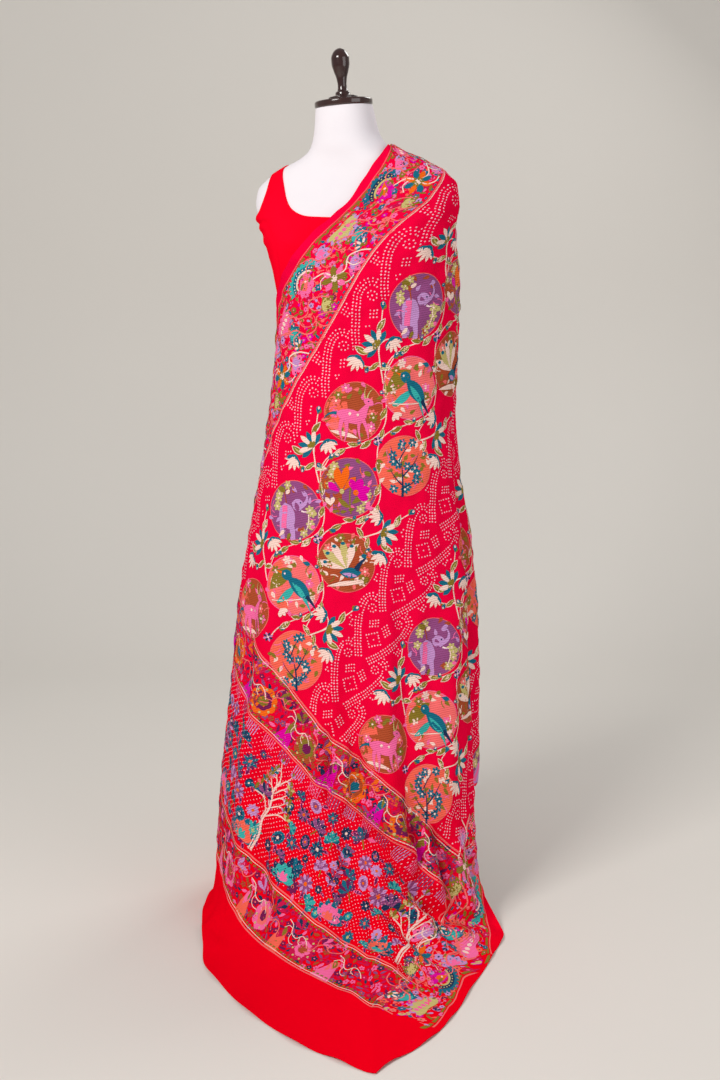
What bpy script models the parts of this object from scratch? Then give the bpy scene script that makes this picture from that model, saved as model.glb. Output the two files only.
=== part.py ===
"""Bandhani sari draped over one shoulder of a dress form.

Metres, +Z up, origin at the centre of the base's underside. The viewer stands at -Y, so +X is to
the viewer's right. Angles run around the pole: 0 is +X, -90 is the front and 90 is the back.
"""

from collections import namedtuple
from math import cos, pi, radians, sin, tan

import bmesh
import bpy
import numpy as np

# ---------------------------------------------------------------- driving dimensions
TOUCH_GAP = 0.0003

BASE_RADIUS = 0.140
BASE_HEIGHT = 0.026
BASE_BEVEL = 0.004
POLE_RADIUS = 0.016
ROUND_STEPS = 40
POLE_STEPS = 20
FINIAL_STEPS = 24

FORM_TURN = radians(-22.0)
FORM_POWER = 2.25
FORM_STEPS = 40
NECK_TILT = radians(4.5)
NECK_TILT_FROM = 1.460

CAP_RADIUS = 0.0525
CAP_HEIGHT = 0.012
CAP_BEVEL = 0.0035

BLOUSE_INNER = 0.0004
BLOUSE_OUTER = 0.0022
STRAP_TOP = 1.452

SARI_THICKNESS = 0.002
SARI_POWER = 2.3
SARI_CLEARANCE = 0.0065
SARI_LIFT = 0.008
SARI_TOP = 1.447
SWEEP_FROM = 0.300
FLOOR_HEIGHT = 0.0016
TAIL_HEIGHT = 0.245
HANG_ROWS = 24
SWEEP_ROWS = 12
LEFT_COLUMNS = 17
FRONT_COLUMNS = 7
FOLD_COLUMNS = 13
BACK_COLUMNS = 5
TRAIN_CORNER = radians(-87.9)
FOLD_START = radians(-38.0)
FOLD_SPAN = radians(52.0)

# Dress form: half width, depth to the front and to the back, and sideways shift of each section.
FormRow = namedtuple("FormRow", "height half_width front back shift")
FORM_ROWS = (
    FormRow(0.760, 0.150, 0.104, 0.104, 0.000),
    FormRow(0.790, 0.162, 0.116, 0.116, 0.000),
    FormRow(0.850, 0.168, 0.122, 0.122, 0.000),
    FormRow(0.940, 0.150, 0.108, 0.106, 0.000),
    FormRow(1.030, 0.122, 0.094, 0.090, 0.000),
    FormRow(1.110, 0.132, 0.104, 0.092, 0.000),
    FormRow(1.170, 0.148, 0.124, 0.096, 0.000),
    FormRow(1.215, 0.157, 0.131, 0.100, 0.000),
    FormRow(1.265, 0.168, 0.121, 0.102, -0.005),
    FormRow(1.310, 0.181, 0.104, 0.098, -0.009),
    FormRow(1.345, 0.191, 0.086, 0.088, -0.011),
    FormRow(1.370, 0.187, 0.073, 0.078, -0.012),
    FormRow(1.392, 0.165, 0.065, 0.070, -0.012),
    FormRow(1.410, 0.132, 0.061, 0.066, -0.013),
    FormRow(1.425, 0.098, 0.060, 0.064, -0.014),
    FormRow(1.441, 0.073, 0.060, 0.062, -0.018),
    FormRow(1.470, 0.058, 0.055, 0.057, -0.024),
    FormRow(1.515, 0.050, 0.049, 0.051, -0.029),
)

# Finial: height above the neck cap and radius.
FinialRow = namedtuple("FinialRow", "height radius")
FINIAL_ROWS = (
    FinialRow(0.0000, 0.0265),
    FinialRow(0.0045, 0.0265),
    FinialRow(0.0060, 0.0235),
    FinialRow(0.0090, 0.0140),
    FinialRow(0.0130, 0.0130),
    FinialRow(0.0160, 0.0095),
    FinialRow(0.0250, 0.0080),
    FinialRow(0.0370, 0.0095),
    FinialRow(0.0500, 0.0135),
    FinialRow(0.0620, 0.0162),
    FinialRow(0.0720, 0.0163),
    FinialRow(0.0810, 0.0130),
    FinialRow(0.0865, 0.0080),
    FinialRow(0.0890, 0.0030),
)

# Blouse seen from the front of the form: half of its outline, from the side seam to the middle.
BlousePoint = namedtuple("BlousePoint", "across height")
BLOUSE_HEM = 1.060
BLOUSE_OUTLINE = (
    BlousePoint(0.240, BLOUSE_HEM),
    BlousePoint(0.240, 1.306),
    BlousePoint(0.184, 1.310),
    BlousePoint(0.168, 1.325),
    BlousePoint(0.152, 1.352),
    BlousePoint(0.141, 1.388),
    BlousePoint(0.138, STRAP_TOP),
    BlousePoint(0.113, STRAP_TOP),
    BlousePoint(0.112, 1.370),
    BlousePoint(0.106, 1.345),
    BlousePoint(0.092, 1.328),
    BlousePoint(0.066, 1.321),
    BlousePoint(0.000, 1.319),
)

# Outline of the hanging sari at each height: reach to the right, left, front and back.
DrapeRow = namedtuple("DrapeRow", "height right left front back")
DRAPE_ROWS = (
    DrapeRow(0.300, 0.232, 0.268, 0.196, 0.172),
    DrapeRow(0.400, 0.231, 0.256, 0.184, 0.164),
    DrapeRow(0.480, 0.230, 0.247, 0.174, 0.158),
    DrapeRow(0.600, 0.224, 0.234, 0.162, 0.150),
    DrapeRow(0.730, 0.210, 0.211, 0.152, 0.142),
    DrapeRow(0.860, 0.187, 0.185, 0.144, 0.135),
    DrapeRow(0.970, 0.177, 0.168, 0.137, 0.126),
    DrapeRow(1.060, 0.180, 0.157, 0.136, 0.118),
    DrapeRow(1.173, 0.181, 0.151, 0.143, 0.115),
    DrapeRow(1.250, 0.181, 0.160, 0.138, 0.112),
    DrapeRow(1.310, 0.179, 0.165, 0.112, 0.104),
    DrapeRow(1.345, 0.175, 0.150, 0.094, 0.094),
    DrapeRow(1.401, 0.150, 0.090, 0.060, 0.068),
    DrapeRow(1.447, 0.060, 0.060, 0.050, 0.052),
)

# The sari's upper edge where it crosses the front of the form.
EdgePoint = namedtuple("EdgePoint", "height across")
FRONT_EDGE = (
    EdgePoint(1.185, -0.151),
    EdgePoint(1.222, -0.137),
    EdgePoint(1.260, -0.113),
    EdgePoint(1.295, -0.081),
    EdgePoint(1.320, -0.050),
    EdgePoint(1.350, -0.018),
    EdgePoint(1.385, 0.006),
    EdgePoint(1.417, 0.028),
    EdgePoint(1.447, 0.050),
)

# Where the two upright edges run, in degrees: round the left side to the back, and down the back.
SideRow = namedtuple("SideRow", "height angle")
LEFT_EDGE = (
    SideRow(0.000, -236.0),
    SideRow(0.300, -234.0),
    SideRow(0.600, -228.0),
    SideRow(0.900, -215.0),
    SideRow(1.090, -195.0),
)
BACK_EDGE = (
    SideRow(0.300, 78.0),
    SideRow(0.800, 82.0),
    SideRow(1.200, 88.0),
    SideRow(1.345, 86.0),
    SideRow(1.395, 74.0),
    SideRow(1.425, 56.0),
    SideRow(1.447, 30.0),
)

# Folds of the hanging cloth: direction, spread in degrees, depth, and the heights between which
# the fold opens, from nothing to its full depth. A positive depth is a valley.
Fold = namedtuple("Fold", "angle spread depth fades_at full_at")
FOLDS = (
    Fold(-13.0, 6.5, 0.034, 1.020, 0.700),
    Fold(-28.0, 7.0, -0.007, 0.980, 0.600),
    Fold(-62.0, 7.0, 0.012, 0.800, 0.380),
    Fold(-74.0, 6.0, -0.008, 0.720, 0.380),
    Fold(-96.0, 6.0, 0.010, 0.640, 0.360),
    Fold(-106.0, 6.0, -0.007, 0.620, 0.360),
    Fold(-132.0, 9.0, 0.008, 0.900, 0.450),
    Fold(-165.0, 12.0, 0.008, 0.900, 0.400),
    Fold(-200.0, 13.0, 0.010, 0.900, 0.400),
    Fold(40.0, 13.0, 0.014, 1.150, 0.500),
)

# The edge on the floor, from the left round the train's corner to the right selvage.
HemRow = namedtuple("HemRow", "angle reach height")
HEM_ROWS = (
    HemRow(-236.0, 0.228, 0.0),
    HemRow(-210.0, 0.272, 0.0),
    HemRow(-180.0, 0.300, 0.0),
    HemRow(-158.0, 0.326, 0.0),
    HemRow(-143.0, 0.364, 0.0),
    HemRow(-133.0, 0.410, 0.0),
    HemRow(-122.3, 0.449, 0.0),
    HemRow(-113.0, 0.499, 0.0),
    HemRow(-105.8, 0.540, 0.0),
    HemRow(-99.6, 0.584, 0.0),
    HemRow(-94.1, 0.618, 0.0),
    HemRow(-90.0, 0.650, 0.0),
    HemRow(-87.9, 0.664, 0.0),
    HemRow(-86.0, 0.635, 0.0),
    HemRow(-82.4, 0.605, 0.0),
    HemRow(-77.7, 0.563, 0.0),
    HemRow(-70.9, 0.497, 0.0),
    HemRow(-61.6, 0.421, 0.0),
    HemRow(-45.6, 0.352, 0.0),
    HemRow(-32.2, 0.319, 0.0),
    HemRow(-28.0, 0.290, 0.020),
    HemRow(-22.0, 0.236, 0.100),
    HemRow(-12.0, 0.205, TAIL_HEIGHT),
    HemRow(0.0, 0.226, TAIL_HEIGHT - 0.012),
    HemRow(30.0, 0.210, TAIL_HEIGHT),
    HemRow(90.0, 0.172, TAIL_HEIGHT + 0.010),
)


# ---------------------------------------------------------------- curves and sections
def eased(table, at, column, against="height"):
    """Read a table's column at a height or an angle, on a smooth curve that never overshoots."""
    places = np.array([getattr(row, against) for row in table])
    values = np.array([getattr(row, column) for row in table])
    order = np.argsort(places)
    places, values = places[order], values[order]
    steps = np.diff(places)
    rises = np.diff(values) / steps
    slopes = np.zeros_like(values)
    same_way = rises[:-1] * rises[1:] > 0
    sums = np.where(same_way, rises[:-1] + rises[1:], 1.0)
    slopes[1:-1] = np.where(same_way, 2 * rises[:-1] * rises[1:] / sums, 0.0)
    slopes[0], slopes[-1] = rises[0], rises[-1]
    at = np.clip(at, places[0], places[-1])
    left = np.clip(np.searchsorted(places, at, side="right") - 1, 0, len(steps) - 1)
    step = steps[left]
    t = (at - places[left]) / step
    start = (1 + 2 * t) * (1 - t) ** 2 * values[left] + t * (1 - t) ** 2 * step * slopes[left]
    end = t * t * (3 - 2 * t) * values[left + 1] + t * t * (t - 1) * step * slopes[left + 1]
    return start + end


def ramp(value, start, end):
    """Rise smoothly from 0 at start to 1 at end."""
    t = np.clip((value - start) / (end - start), 0.0, 1.0)
    return t * t * (3 - 2 * t)


def oval(angle, right, left, front, back, power):
    """Reach of a rounded oval in the direction of angle, in radians."""
    across = np.where(np.cos(angle) > 0, right, left)
    deep = np.where(np.sin(angle) > 0, back, front)
    total = np.abs(np.cos(angle) / across) ** power + np.abs(np.sin(angle) / deep) ** power
    return total ** (-1 / power)


def form_reach(angle, height):
    """Reach of the dress form's section at a height."""
    width = eased(FORM_ROWS, height, "half_width")
    front = eased(FORM_ROWS, height, "front")
    back = eased(FORM_ROWS, height, "back")
    return oval(angle - FORM_TURN, width, width, front, back, FORM_POWER)


def neck_rise(x, height):
    """How far the tilted neck lifts a point of the form."""
    shift = eased(FORM_ROWS, height, "shift")
    return tan(NECK_TILT) * (x - shift) * ramp(height, NECK_TILT_FROM, FORM_ROWS[-1].height)


def form_point(angle, height):
    """Point on the dress form."""
    reach = form_reach(angle, height)
    x = reach * np.cos(angle) + eased(FORM_ROWS, height, "shift")
    y = reach * np.sin(angle)
    return np.stack([x, y, height + neck_rise(x, height)], axis=-1)


def fold_depth(angle, height):
    """How far the folds push the hanging cloth in at a direction, in radians, and a height."""
    depth = np.zeros_like(angle + height)
    for fold in FOLDS:
        off = (np.degrees(angle) - fold.angle) / fold.spread
        depth = depth + fold.depth * np.exp(-off * off) * ramp(-height, -fold.fades_at, -fold.full_at)
    return depth


def drape_reach(angle, height):
    """Reach of the hanging sari: its own outline, kept clear of the form."""
    sides = [eased(DRAPE_ROWS, height, side) for side in ("right", "left", "front", "back")]
    outline = oval(angle, *sides, SARI_POWER) - fold_depth(angle, height)
    below = form_reach(angle, height - SARI_LIFT)
    clear = np.maximum(form_reach(angle, height), below) + SARI_CLEARANCE
    inside_form = ramp(height, 0.700, 0.745)
    clear = clear * inside_form
    blend = 0.006
    return 0.5 * (outline + clear + np.sqrt((outline - clear) ** 2 + blend * blend))


def drape_point(angle, height):
    """Point on the middle surface of the hanging sari."""
    reach = drape_reach(angle, height)
    shift = eased(FORM_ROWS, height, "shift")
    x = reach * np.cos(angle) + shift
    return np.stack([x, reach * np.sin(angle), height + 0 * x], axis=-1)


# ---------------------------------------------------------------- the sari's own grid
def front_edge_angle(height):
    """Direction, in radians, in which the upper edge crosses the front at a height."""
    across = eased(FRONT_EDGE, height, "across")
    low, high = -pi, radians(-5.0)
    for _ in range(40):
        middle = 0.5 * (low + high)
        if drape_point(np.array(middle), np.array(height))[0] < across:
            low = middle
        else:
            high = middle
    return middle


def left_edge_angle(height):
    """Direction of the sari's left edge, in radians."""
    lowest = FRONT_EDGE[0].height
    if height >= lowest:
        return front_edge_angle(height)
    side = LEFT_EDGE + (SideRow(lowest, np.degrees(front_edge_angle(lowest))),)
    return radians(float(eased(side, height, "angle")))


def column_angles(height, columns):
    """Directions of all columns at a height, closer together around the deep fold.

    One column runs down to the train's corner, so that the corner stays sharp.
    """
    left, front, fold, back = columns
    start = left_edge_angle(height)
    end = radians(float(eased(BACK_EDGE, height, "angle")))
    span = end - start
    fold_start = max(FOLD_START, start + 0.35 * span)
    fold_end = fold_start + min(FOLD_SPAN, 0.4 * span)
    lowest = left_edge_angle(SWEEP_FROM)
    corner_share = (TRAIN_CORNER - lowest) / (FOLD_START - lowest)
    corner = start + corner_share * (fold_start - start)
    stops = (
        (start, corner, left),
        (corner, fold_start, front),
        (fold_start, fold_end, fold),
        (fold_end, end, back),
    )
    parts = [np.linspace(low, high, count + 1)[1:] for low, high, count in stops]
    return np.concatenate([[start], *parts])


def hang_heights(rows):
    """Heights of the hanging rows, from the shoulder down, closer together at the shoulder."""
    t = np.linspace(0.0, 1.0, rows + 1)
    return SARI_TOP - (SARI_TOP - SWEEP_FROM) * t ** 1.5


def sari_surface(rows_hang, rows_sweep, columns):
    """Middle surface of the sari: a grid of points from the shoulder to the hem."""
    rows = []
    for height in hang_heights(rows_hang):
        angles = column_angles(height, columns)
        rows.append(drape_point(angles, np.full_like(angles, height)))
    start = rows[-1]
    turn = np.degrees(angles)
    reach = eased(HEM_ROWS, turn, "reach", "angle")
    height = eased(HEM_ROWS, turn, "height", "angle")
    hem = np.stack([reach * np.cos(angles), reach * np.sin(angles), FLOOR_HEIGHT + height], axis=-1)
    drop = (start - hem)[:, 2:3]
    fall = (start - rows[-2]) / np.abs((start - rows[-2])[:, 2:3])
    first = start + fall * 0.62 * drop
    foot = start * np.array([1.0, 1.0, 0.0]) + hem * np.array([0.0, 0.0, 1.0])
    second = foot + 0.30 * (hem - foot)
    for t in np.linspace(0.0, 1.0, rows_sweep + 1)[1:]:
        s = 1 - t
        rows.append(s ** 3 * start + 3 * s * s * t * first + 3 * s * t * t * second + t ** 3 * hem)
    return np.stack(rows)


# ---------------------------------------------------------------- meshes
def offset_grid(points, distance, closed):
    """Move a grid of points along its surface normals."""
    if closed:
        along = np.roll(points, -1, axis=1) - np.roll(points, 1, axis=1)
    else:
        along = np.gradient(points, axis=1)
    down = np.gradient(points, axis=0)
    normals = np.cross(down, along)
    normals /= np.linalg.norm(normals, axis=2, keepdims=True)
    return points + distance * normals


def sheet_mesh(name, outer, inner, closed):
    """One closed solid between two grids of the same size."""
    rows, columns = outer.shape[:2]
    count = rows * columns

    def corner(side, row, column):
        return side * count + row * columns + column % columns

    faces = []
    spans = columns if closed else columns - 1
    for row in range(rows - 1):
        for column in range(spans):
            loop = [(row, column), (row, column + 1), (row + 1, column + 1), (row + 1, column)]
            faces.append([corner(0, *place) for place in loop])
            faces.append([corner(1, *place) for place in reversed(loop)])
    for column in range(spans):
        for row, flip in ((0, False), (rows - 1, True)):
            edge = [corner(0, row, column), corner(1, row, column)]
            edge += [corner(1, row, column + 1), corner(0, row, column + 1)]
            faces.append(edge[::-1] if flip else edge)
    if not closed:
        for row in range(rows - 1):
            for column, flip in ((0, True), (columns - 1, False)):
                edge = [corner(0, row, column), corner(1, row, column)]
                edge += [corner(1, row + 1, column), corner(0, row + 1, column)]
                faces.append(edge[::-1] if flip else edge)
    mesh = bpy.data.meshes.new(name)
    points = np.concatenate([outer.reshape(-1, 3), inner.reshape(-1, 3)])
    mesh.from_pydata(points.tolist(), [], faces)
    return mesh


def outward(mesh):
    """Turn every face of a closed mesh outwards and make it triangles."""
    work = bmesh.new()
    work.from_mesh(mesh)
    bmesh.ops.recalc_face_normals(work, faces=work.faces)
    bmesh.ops.triangulate(work, faces=work.faces)
    if work.calc_volume(signed=True) < 0:
        bmesh.ops.reverse_faces(work, faces=work.faces)
    work.to_mesh(mesh)
    work.free()


def lathe_mesh(name, profile, steps):
    """Turned solid from a list of (radius, height), closed by flat discs."""
    work = bmesh.new()
    rings = []
    for radius, height in profile:
        ring = [
            work.verts.new((radius * cos(2 * pi * k / steps), radius * sin(2 * pi * k / steps), height))
            for k in range(steps)
        ]
        rings.append(ring)
    for low, high in zip(rings, rings[1:]):
        for k in range(steps):
            after = (k + 1) % steps
            work.faces.new((low[k], low[after], high[after], high[k]))
    work.faces.new(rings[0][::-1])
    work.faces.new(rings[-1])
    mesh = bpy.data.meshes.new(name)
    work.to_mesh(mesh)
    work.free()
    return mesh


def plain_material(name, colour, roughness, metallic=0.0):
    """Principled material with one colour."""
    material = bpy.data.materials.new(name)
    material.use_nodes = True
    shader = material.node_tree.nodes["Principled BSDF"]
    shader.inputs["Base Color"].default_value = (*colour, 1.0)
    shader.inputs["Roughness"].default_value = roughness
    shader.inputs["Metallic"].default_value = metallic
    return material


def add_part(name, mesh, material):
    """Named object with its material, shaded smooth away from its sharp edges."""
    mesh.materials.clear()
    mesh.materials.append(material)
    mesh.shade_smooth()
    mesh.set_sharp_from_angle(angle=radians(40.0))
    part = bpy.data.objects.new(name, mesh)
    bpy.context.collection.objects.link(part)
    return part


# ---------------------------------------------------------------- the pieces
def make_base():
    """Round foot of the stand, flat underneath."""
    profile = (
        (BASE_RADIUS, 0.0),
        (BASE_RADIUS, BASE_HEIGHT - BASE_BEVEL),
        (BASE_RADIUS - BASE_BEVEL, BASE_HEIGHT),
    )
    finish = plain_material("dark_wood", (0.06, 0.03, 0.02), 0.4)
    add_part("base", lathe_mesh("base", profile, ROUND_STEPS), finish)


def make_pole():
    """Upright between the base and the form's underside."""
    low, high = BASE_HEIGHT + TOUCH_GAP, FORM_ROWS[0].height - TOUCH_GAP
    profile = ((POLE_RADIUS, low), (POLE_RADIUS, high))
    finish = plain_material("pole_steel", (0.25, 0.24, 0.23), 0.35, 1.0)
    add_part("pole", lathe_mesh("pole", profile, POLE_STEPS), finish)


def make_form():
    """Torso and neck of the dress form as one closed body."""
    angles = np.linspace(0.0, 2 * pi, FORM_STEPS, endpoint=False)
    work = bmesh.new()
    rings = []
    for row in FORM_ROWS:
        points = form_point(angles, np.full_like(angles, row.height))
        rings.append([work.verts.new(point) for point in points])
    for low, high in zip(rings, rings[1:]):
        for k in range(FORM_STEPS):
            after = (k + 1) % FORM_STEPS
            work.faces.new((low[k], low[after], high[after], high[k]))
    work.faces.new(rings[0][::-1])
    work.faces.new(rings[-1])
    mesh = bpy.data.meshes.new("form")
    work.to_mesh(mesh)
    work.free()
    outward(mesh)
    add_part("form", mesh, plain_material("form_jersey", (0.86, 0.83, 0.86), 0.8))


def on_neck(part, lift):
    """Stand a turned piece on the tilted neck."""
    top = FORM_ROWS[-1]
    part.rotation_euler = (0.0, -NECK_TILT, 0.0)
    rise = lift + TOUCH_GAP
    part.location = (top.shift - rise * sin(NECK_TILT), 0.0, top.height + rise * cos(NECK_TILT))


def make_neck_cap():
    """Wooden plate on the neck."""
    profile = (
        (CAP_RADIUS - CAP_BEVEL, 0.0),
        (CAP_RADIUS, CAP_BEVEL),
        (CAP_RADIUS, CAP_HEIGHT - CAP_BEVEL),
        (CAP_RADIUS - CAP_BEVEL, CAP_HEIGHT),
    )
    finish = plain_material("cap_wood", (0.02, 0.006, 0.006), 0.2)
    cap = add_part("neck_cap", lathe_mesh("neck_cap", profile, ROUND_STEPS), finish)
    on_neck(cap, 0.0)


def make_finial():
    """Turned knob on the neck cap."""
    profile = [(row.radius, row.height) for row in FINIAL_ROWS]
    finish = plain_material("finial_wood", (0.02, 0.006, 0.006), 0.15)
    finial = add_part("finial", lathe_mesh("finial", profile, FINIAL_STEPS), finish)
    on_neck(finial, CAP_HEIGHT + TOUCH_GAP)


def blouse_cutter():
    """Solid with the blouse's front outline, which passes through the whole form."""
    half = [(point.across, point.height) for point in BLOUSE_OUTLINE]
    outline = half + [(-x, z) for x, z in reversed(half) if x > 0]
    work = bmesh.new()
    depth = 0.30
    near = [work.verts.new((x, -depth, z)) for x, z in outline]
    far = [work.verts.new((x, depth, z)) for x, z in outline]
    work.faces.new(near)
    work.faces.new(far[::-1])
    for k in range(len(outline)):
        after = (k + 1) % len(outline)
        work.faces.new((near[k], far[k], far[after], near[after]))
    mesh = bpy.data.meshes.new("blouse_outline")
    work.to_mesh(mesh)
    work.free()
    outward(mesh)
    cutter = bpy.data.objects.new("blouse_outline", mesh)
    bpy.context.collection.objects.link(cutter)
    cutter.rotation_euler = (0.0, 0.0, FORM_TURN)
    cutter.hide_render = True
    cutter.display_type = "WIRE"
    return cutter


def make_blouse():
    """Sleeveless fitted blouse: a thin shell on the form, cut to its outline."""
    angles = np.linspace(0.0, 2 * pi, FORM_STEPS, endpoint=False)
    heights = [row.height for row in reversed(FORM_ROWS) if BLOUSE_HEM - 0.04 < row.height < STRAP_TOP]
    form = np.stack([form_point(angles, np.full_like(angles, height)) for height in heights])
    outer = offset_grid(form, BLOUSE_OUTER, closed=True)
    inner = offset_grid(form, BLOUSE_INNER, closed=True)
    mesh = sheet_mesh("blouse", outer, inner, closed=True)
    outward(mesh)
    blouse = add_part("blouse", mesh, plain_material("blouse_crepe", (0.85, 0.01, 0.01), 0.7))
    cut = blouse.modifiers.new("outline", "BOOLEAN")
    cut.operation = "INTERSECT"
    cut.solver = "EXACT"
    cut.object = blouse_cutter()


def make_sari():
    """The sari as one sheet, from the shoulder to the train on the floor."""
    columns = (LEFT_COLUMNS, FRONT_COLUMNS, FOLD_COLUMNS, BACK_COLUMNS)
    middle = sari_surface(HANG_ROWS, SWEEP_ROWS, columns)
    outer = offset_grid(middle, 0.5 * SARI_THICKNESS, closed=False)
    inner = offset_grid(middle, -0.5 * SARI_THICKNESS, closed=False)
    mesh = sheet_mesh("sari", outer, inner, closed=False)
    outward(mesh)
    add_part("sari", mesh, plain_material("sari_silk", (0.80, 0.01, 0.03), 0.6))


def main():
    for item in list(bpy.data.objects):
        bpy.data.objects.remove(item, do_unlink=True)
    make_base()
    make_pole()
    make_form()
    make_neck_cap()
    make_finial()
    make_blouse()
    make_sari()


main()
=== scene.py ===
"""Bandhani sari draped over one shoulder of a dress form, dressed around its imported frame.

Everything is in metres in the frame's own axes: +Z up, the viewer at -Y, +X to the viewer's right.
Angles run around the pole: 0 is +X, -90 is the front and 90 is the back. On the cloth, "across" is
the distance from the upper selvage and "along" runs down the cloth from the shoulder to its end.
"""

from collections import namedtuple
from functools import lru_cache
from math import cos, pi, radians, sin, tan

import bmesh
import bpy
import numpy as np
from mathutils import Matrix, Vector


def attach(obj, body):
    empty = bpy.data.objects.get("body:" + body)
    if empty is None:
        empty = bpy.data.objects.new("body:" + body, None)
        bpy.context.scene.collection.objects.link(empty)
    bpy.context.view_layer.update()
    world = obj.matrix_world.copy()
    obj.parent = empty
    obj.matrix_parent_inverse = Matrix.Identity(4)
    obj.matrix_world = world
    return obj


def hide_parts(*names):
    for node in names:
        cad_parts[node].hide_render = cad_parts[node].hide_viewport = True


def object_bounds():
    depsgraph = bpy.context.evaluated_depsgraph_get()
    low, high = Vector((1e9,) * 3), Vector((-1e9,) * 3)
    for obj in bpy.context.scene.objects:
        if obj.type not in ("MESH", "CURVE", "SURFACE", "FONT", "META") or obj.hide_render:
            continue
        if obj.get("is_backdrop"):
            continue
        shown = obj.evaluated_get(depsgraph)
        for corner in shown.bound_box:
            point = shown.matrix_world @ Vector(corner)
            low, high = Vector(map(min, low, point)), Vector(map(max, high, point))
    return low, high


bl_info = {
    "name": "Bandhani Sari on a Dress Form",
    "version": (1, 0, 0),
    "blender": (4, 5, 0),
    "location": "3D View > Sidebar > Bandhani Sari",
    "description": "Drapes a tie-dyed and embroidered sari over a dress form",
    "category": "Object",
}

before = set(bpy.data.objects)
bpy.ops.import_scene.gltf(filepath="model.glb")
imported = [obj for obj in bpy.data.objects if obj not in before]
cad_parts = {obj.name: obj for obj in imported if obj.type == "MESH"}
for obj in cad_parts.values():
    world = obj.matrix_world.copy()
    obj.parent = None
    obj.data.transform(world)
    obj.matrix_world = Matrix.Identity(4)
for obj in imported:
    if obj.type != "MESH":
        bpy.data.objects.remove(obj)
CAD_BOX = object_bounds()
BODY = "root"


def rows_of(kind, *rows):
    """Table of named rows."""
    return tuple(kind(*row) for row in rows)


# --- the shapes' driving sizes
FORM_TURN = radians(-22.0)
FORM_POWER = 2.25
NECK_TILT = radians(4.5)
NECK_TILT_FROM = 1.460
TOUCH_GAP = 0.0003
CAP_RADIUS = 0.0525
CAP_HEIGHT = 0.012
CAP_BEVEL = 0.0035

SARI_POWER = 2.3
SARI_CLEARANCE = 0.0065
SARI_LIFT = 0.008
SARI_TOP = 1.447
SWEEP_FROM = 0.300
FLOOR_HEIGHT = 0.0016
TAIL_HEIGHT = 0.245
TRAIN_CORNER = radians(-87.9)
FOLD_START = radians(-38.0)
FOLD_SPAN = radians(52.0)
FOLD_FROM_SHARE = 0.35
FOLD_SPAN_SHARE = 0.40
# The sari hangs free below the first height and lies round the form above the second.
FREE_BELOW = 0.700
ROUND_ABOVE = 0.745
CLEAR_BLEND = 0.006
SWEEP_FALL = 0.62
SWEEP_FOOT = 0.30
HALVINGS = 40

# Dress form: half width, depth to the front and to the back, and sideways shift of each section.
FormRow = namedtuple("FormRow", "height half_width front back shift")
FORM_ROWS = rows_of(
    FormRow,
    (0.760, 0.150, 0.104, 0.104, 0.000),
    (0.790, 0.162, 0.116, 0.116, 0.000),
    (0.850, 0.168, 0.122, 0.122, 0.000),
    (0.940, 0.150, 0.108, 0.106, 0.000),
    (1.030, 0.122, 0.094, 0.090, 0.000),
    (1.110, 0.132, 0.104, 0.092, 0.000),
    (1.170, 0.148, 0.124, 0.096, 0.000),
    (1.215, 0.157, 0.131, 0.100, 0.000),
    (1.265, 0.168, 0.121, 0.102, -0.005),
    (1.310, 0.181, 0.104, 0.098, -0.009),
    (1.345, 0.191, 0.086, 0.088, -0.011),
    (1.370, 0.187, 0.073, 0.078, -0.012),
    (1.392, 0.165, 0.065, 0.070, -0.012),
    (1.410, 0.132, 0.061, 0.066, -0.013),
    (1.425, 0.098, 0.060, 0.064, -0.014),
    (1.441, 0.073, 0.060, 0.062, -0.018),
    (1.470, 0.058, 0.055, 0.057, -0.024),
    (1.515, 0.050, 0.049, 0.051, -0.029),
)

# Finial: height above the neck cap and radius.
FinialRow = namedtuple("FinialRow", "height radius")
FINIAL_ROWS = rows_of(
    FinialRow,
    (0.0000, 0.0265),
    (0.0045, 0.0265),
    (0.0060, 0.0235),
    (0.0090, 0.0140),
    (0.0130, 0.0130),
    (0.0160, 0.0095),
    (0.0250, 0.0080),
    (0.0370, 0.0095),
    (0.0500, 0.0135),
    (0.0620, 0.0162),
    (0.0720, 0.0163),
    (0.0810, 0.0130),
    (0.0865, 0.0080),
    (0.0890, 0.0030),
)

# Blouse seen from the front of the form: half of its outline, from the side seam to the middle.
BlousePoint = namedtuple("BlousePoint", "across height")
STRAP_TOP = 1.452
BLOUSE_HEM = 1.060
BLOUSE_OUTLINE = rows_of(
    BlousePoint,
    (0.240, BLOUSE_HEM),
    (0.240, 1.322),
    (0.186, 1.325),
    (0.174, 1.336),
    (0.164, 1.360),
    (0.161, 1.388),
    (0.173, STRAP_TOP),
    (0.149, STRAP_TOP),
    (0.134, 1.405),
    (0.122, 1.376),
    (0.112, 1.354),
    (0.100, 1.338),
    (0.084, 1.328),
    (0.064, 1.322),
    (0.034, 1.320),
    (0.000, 1.319),
)

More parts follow.
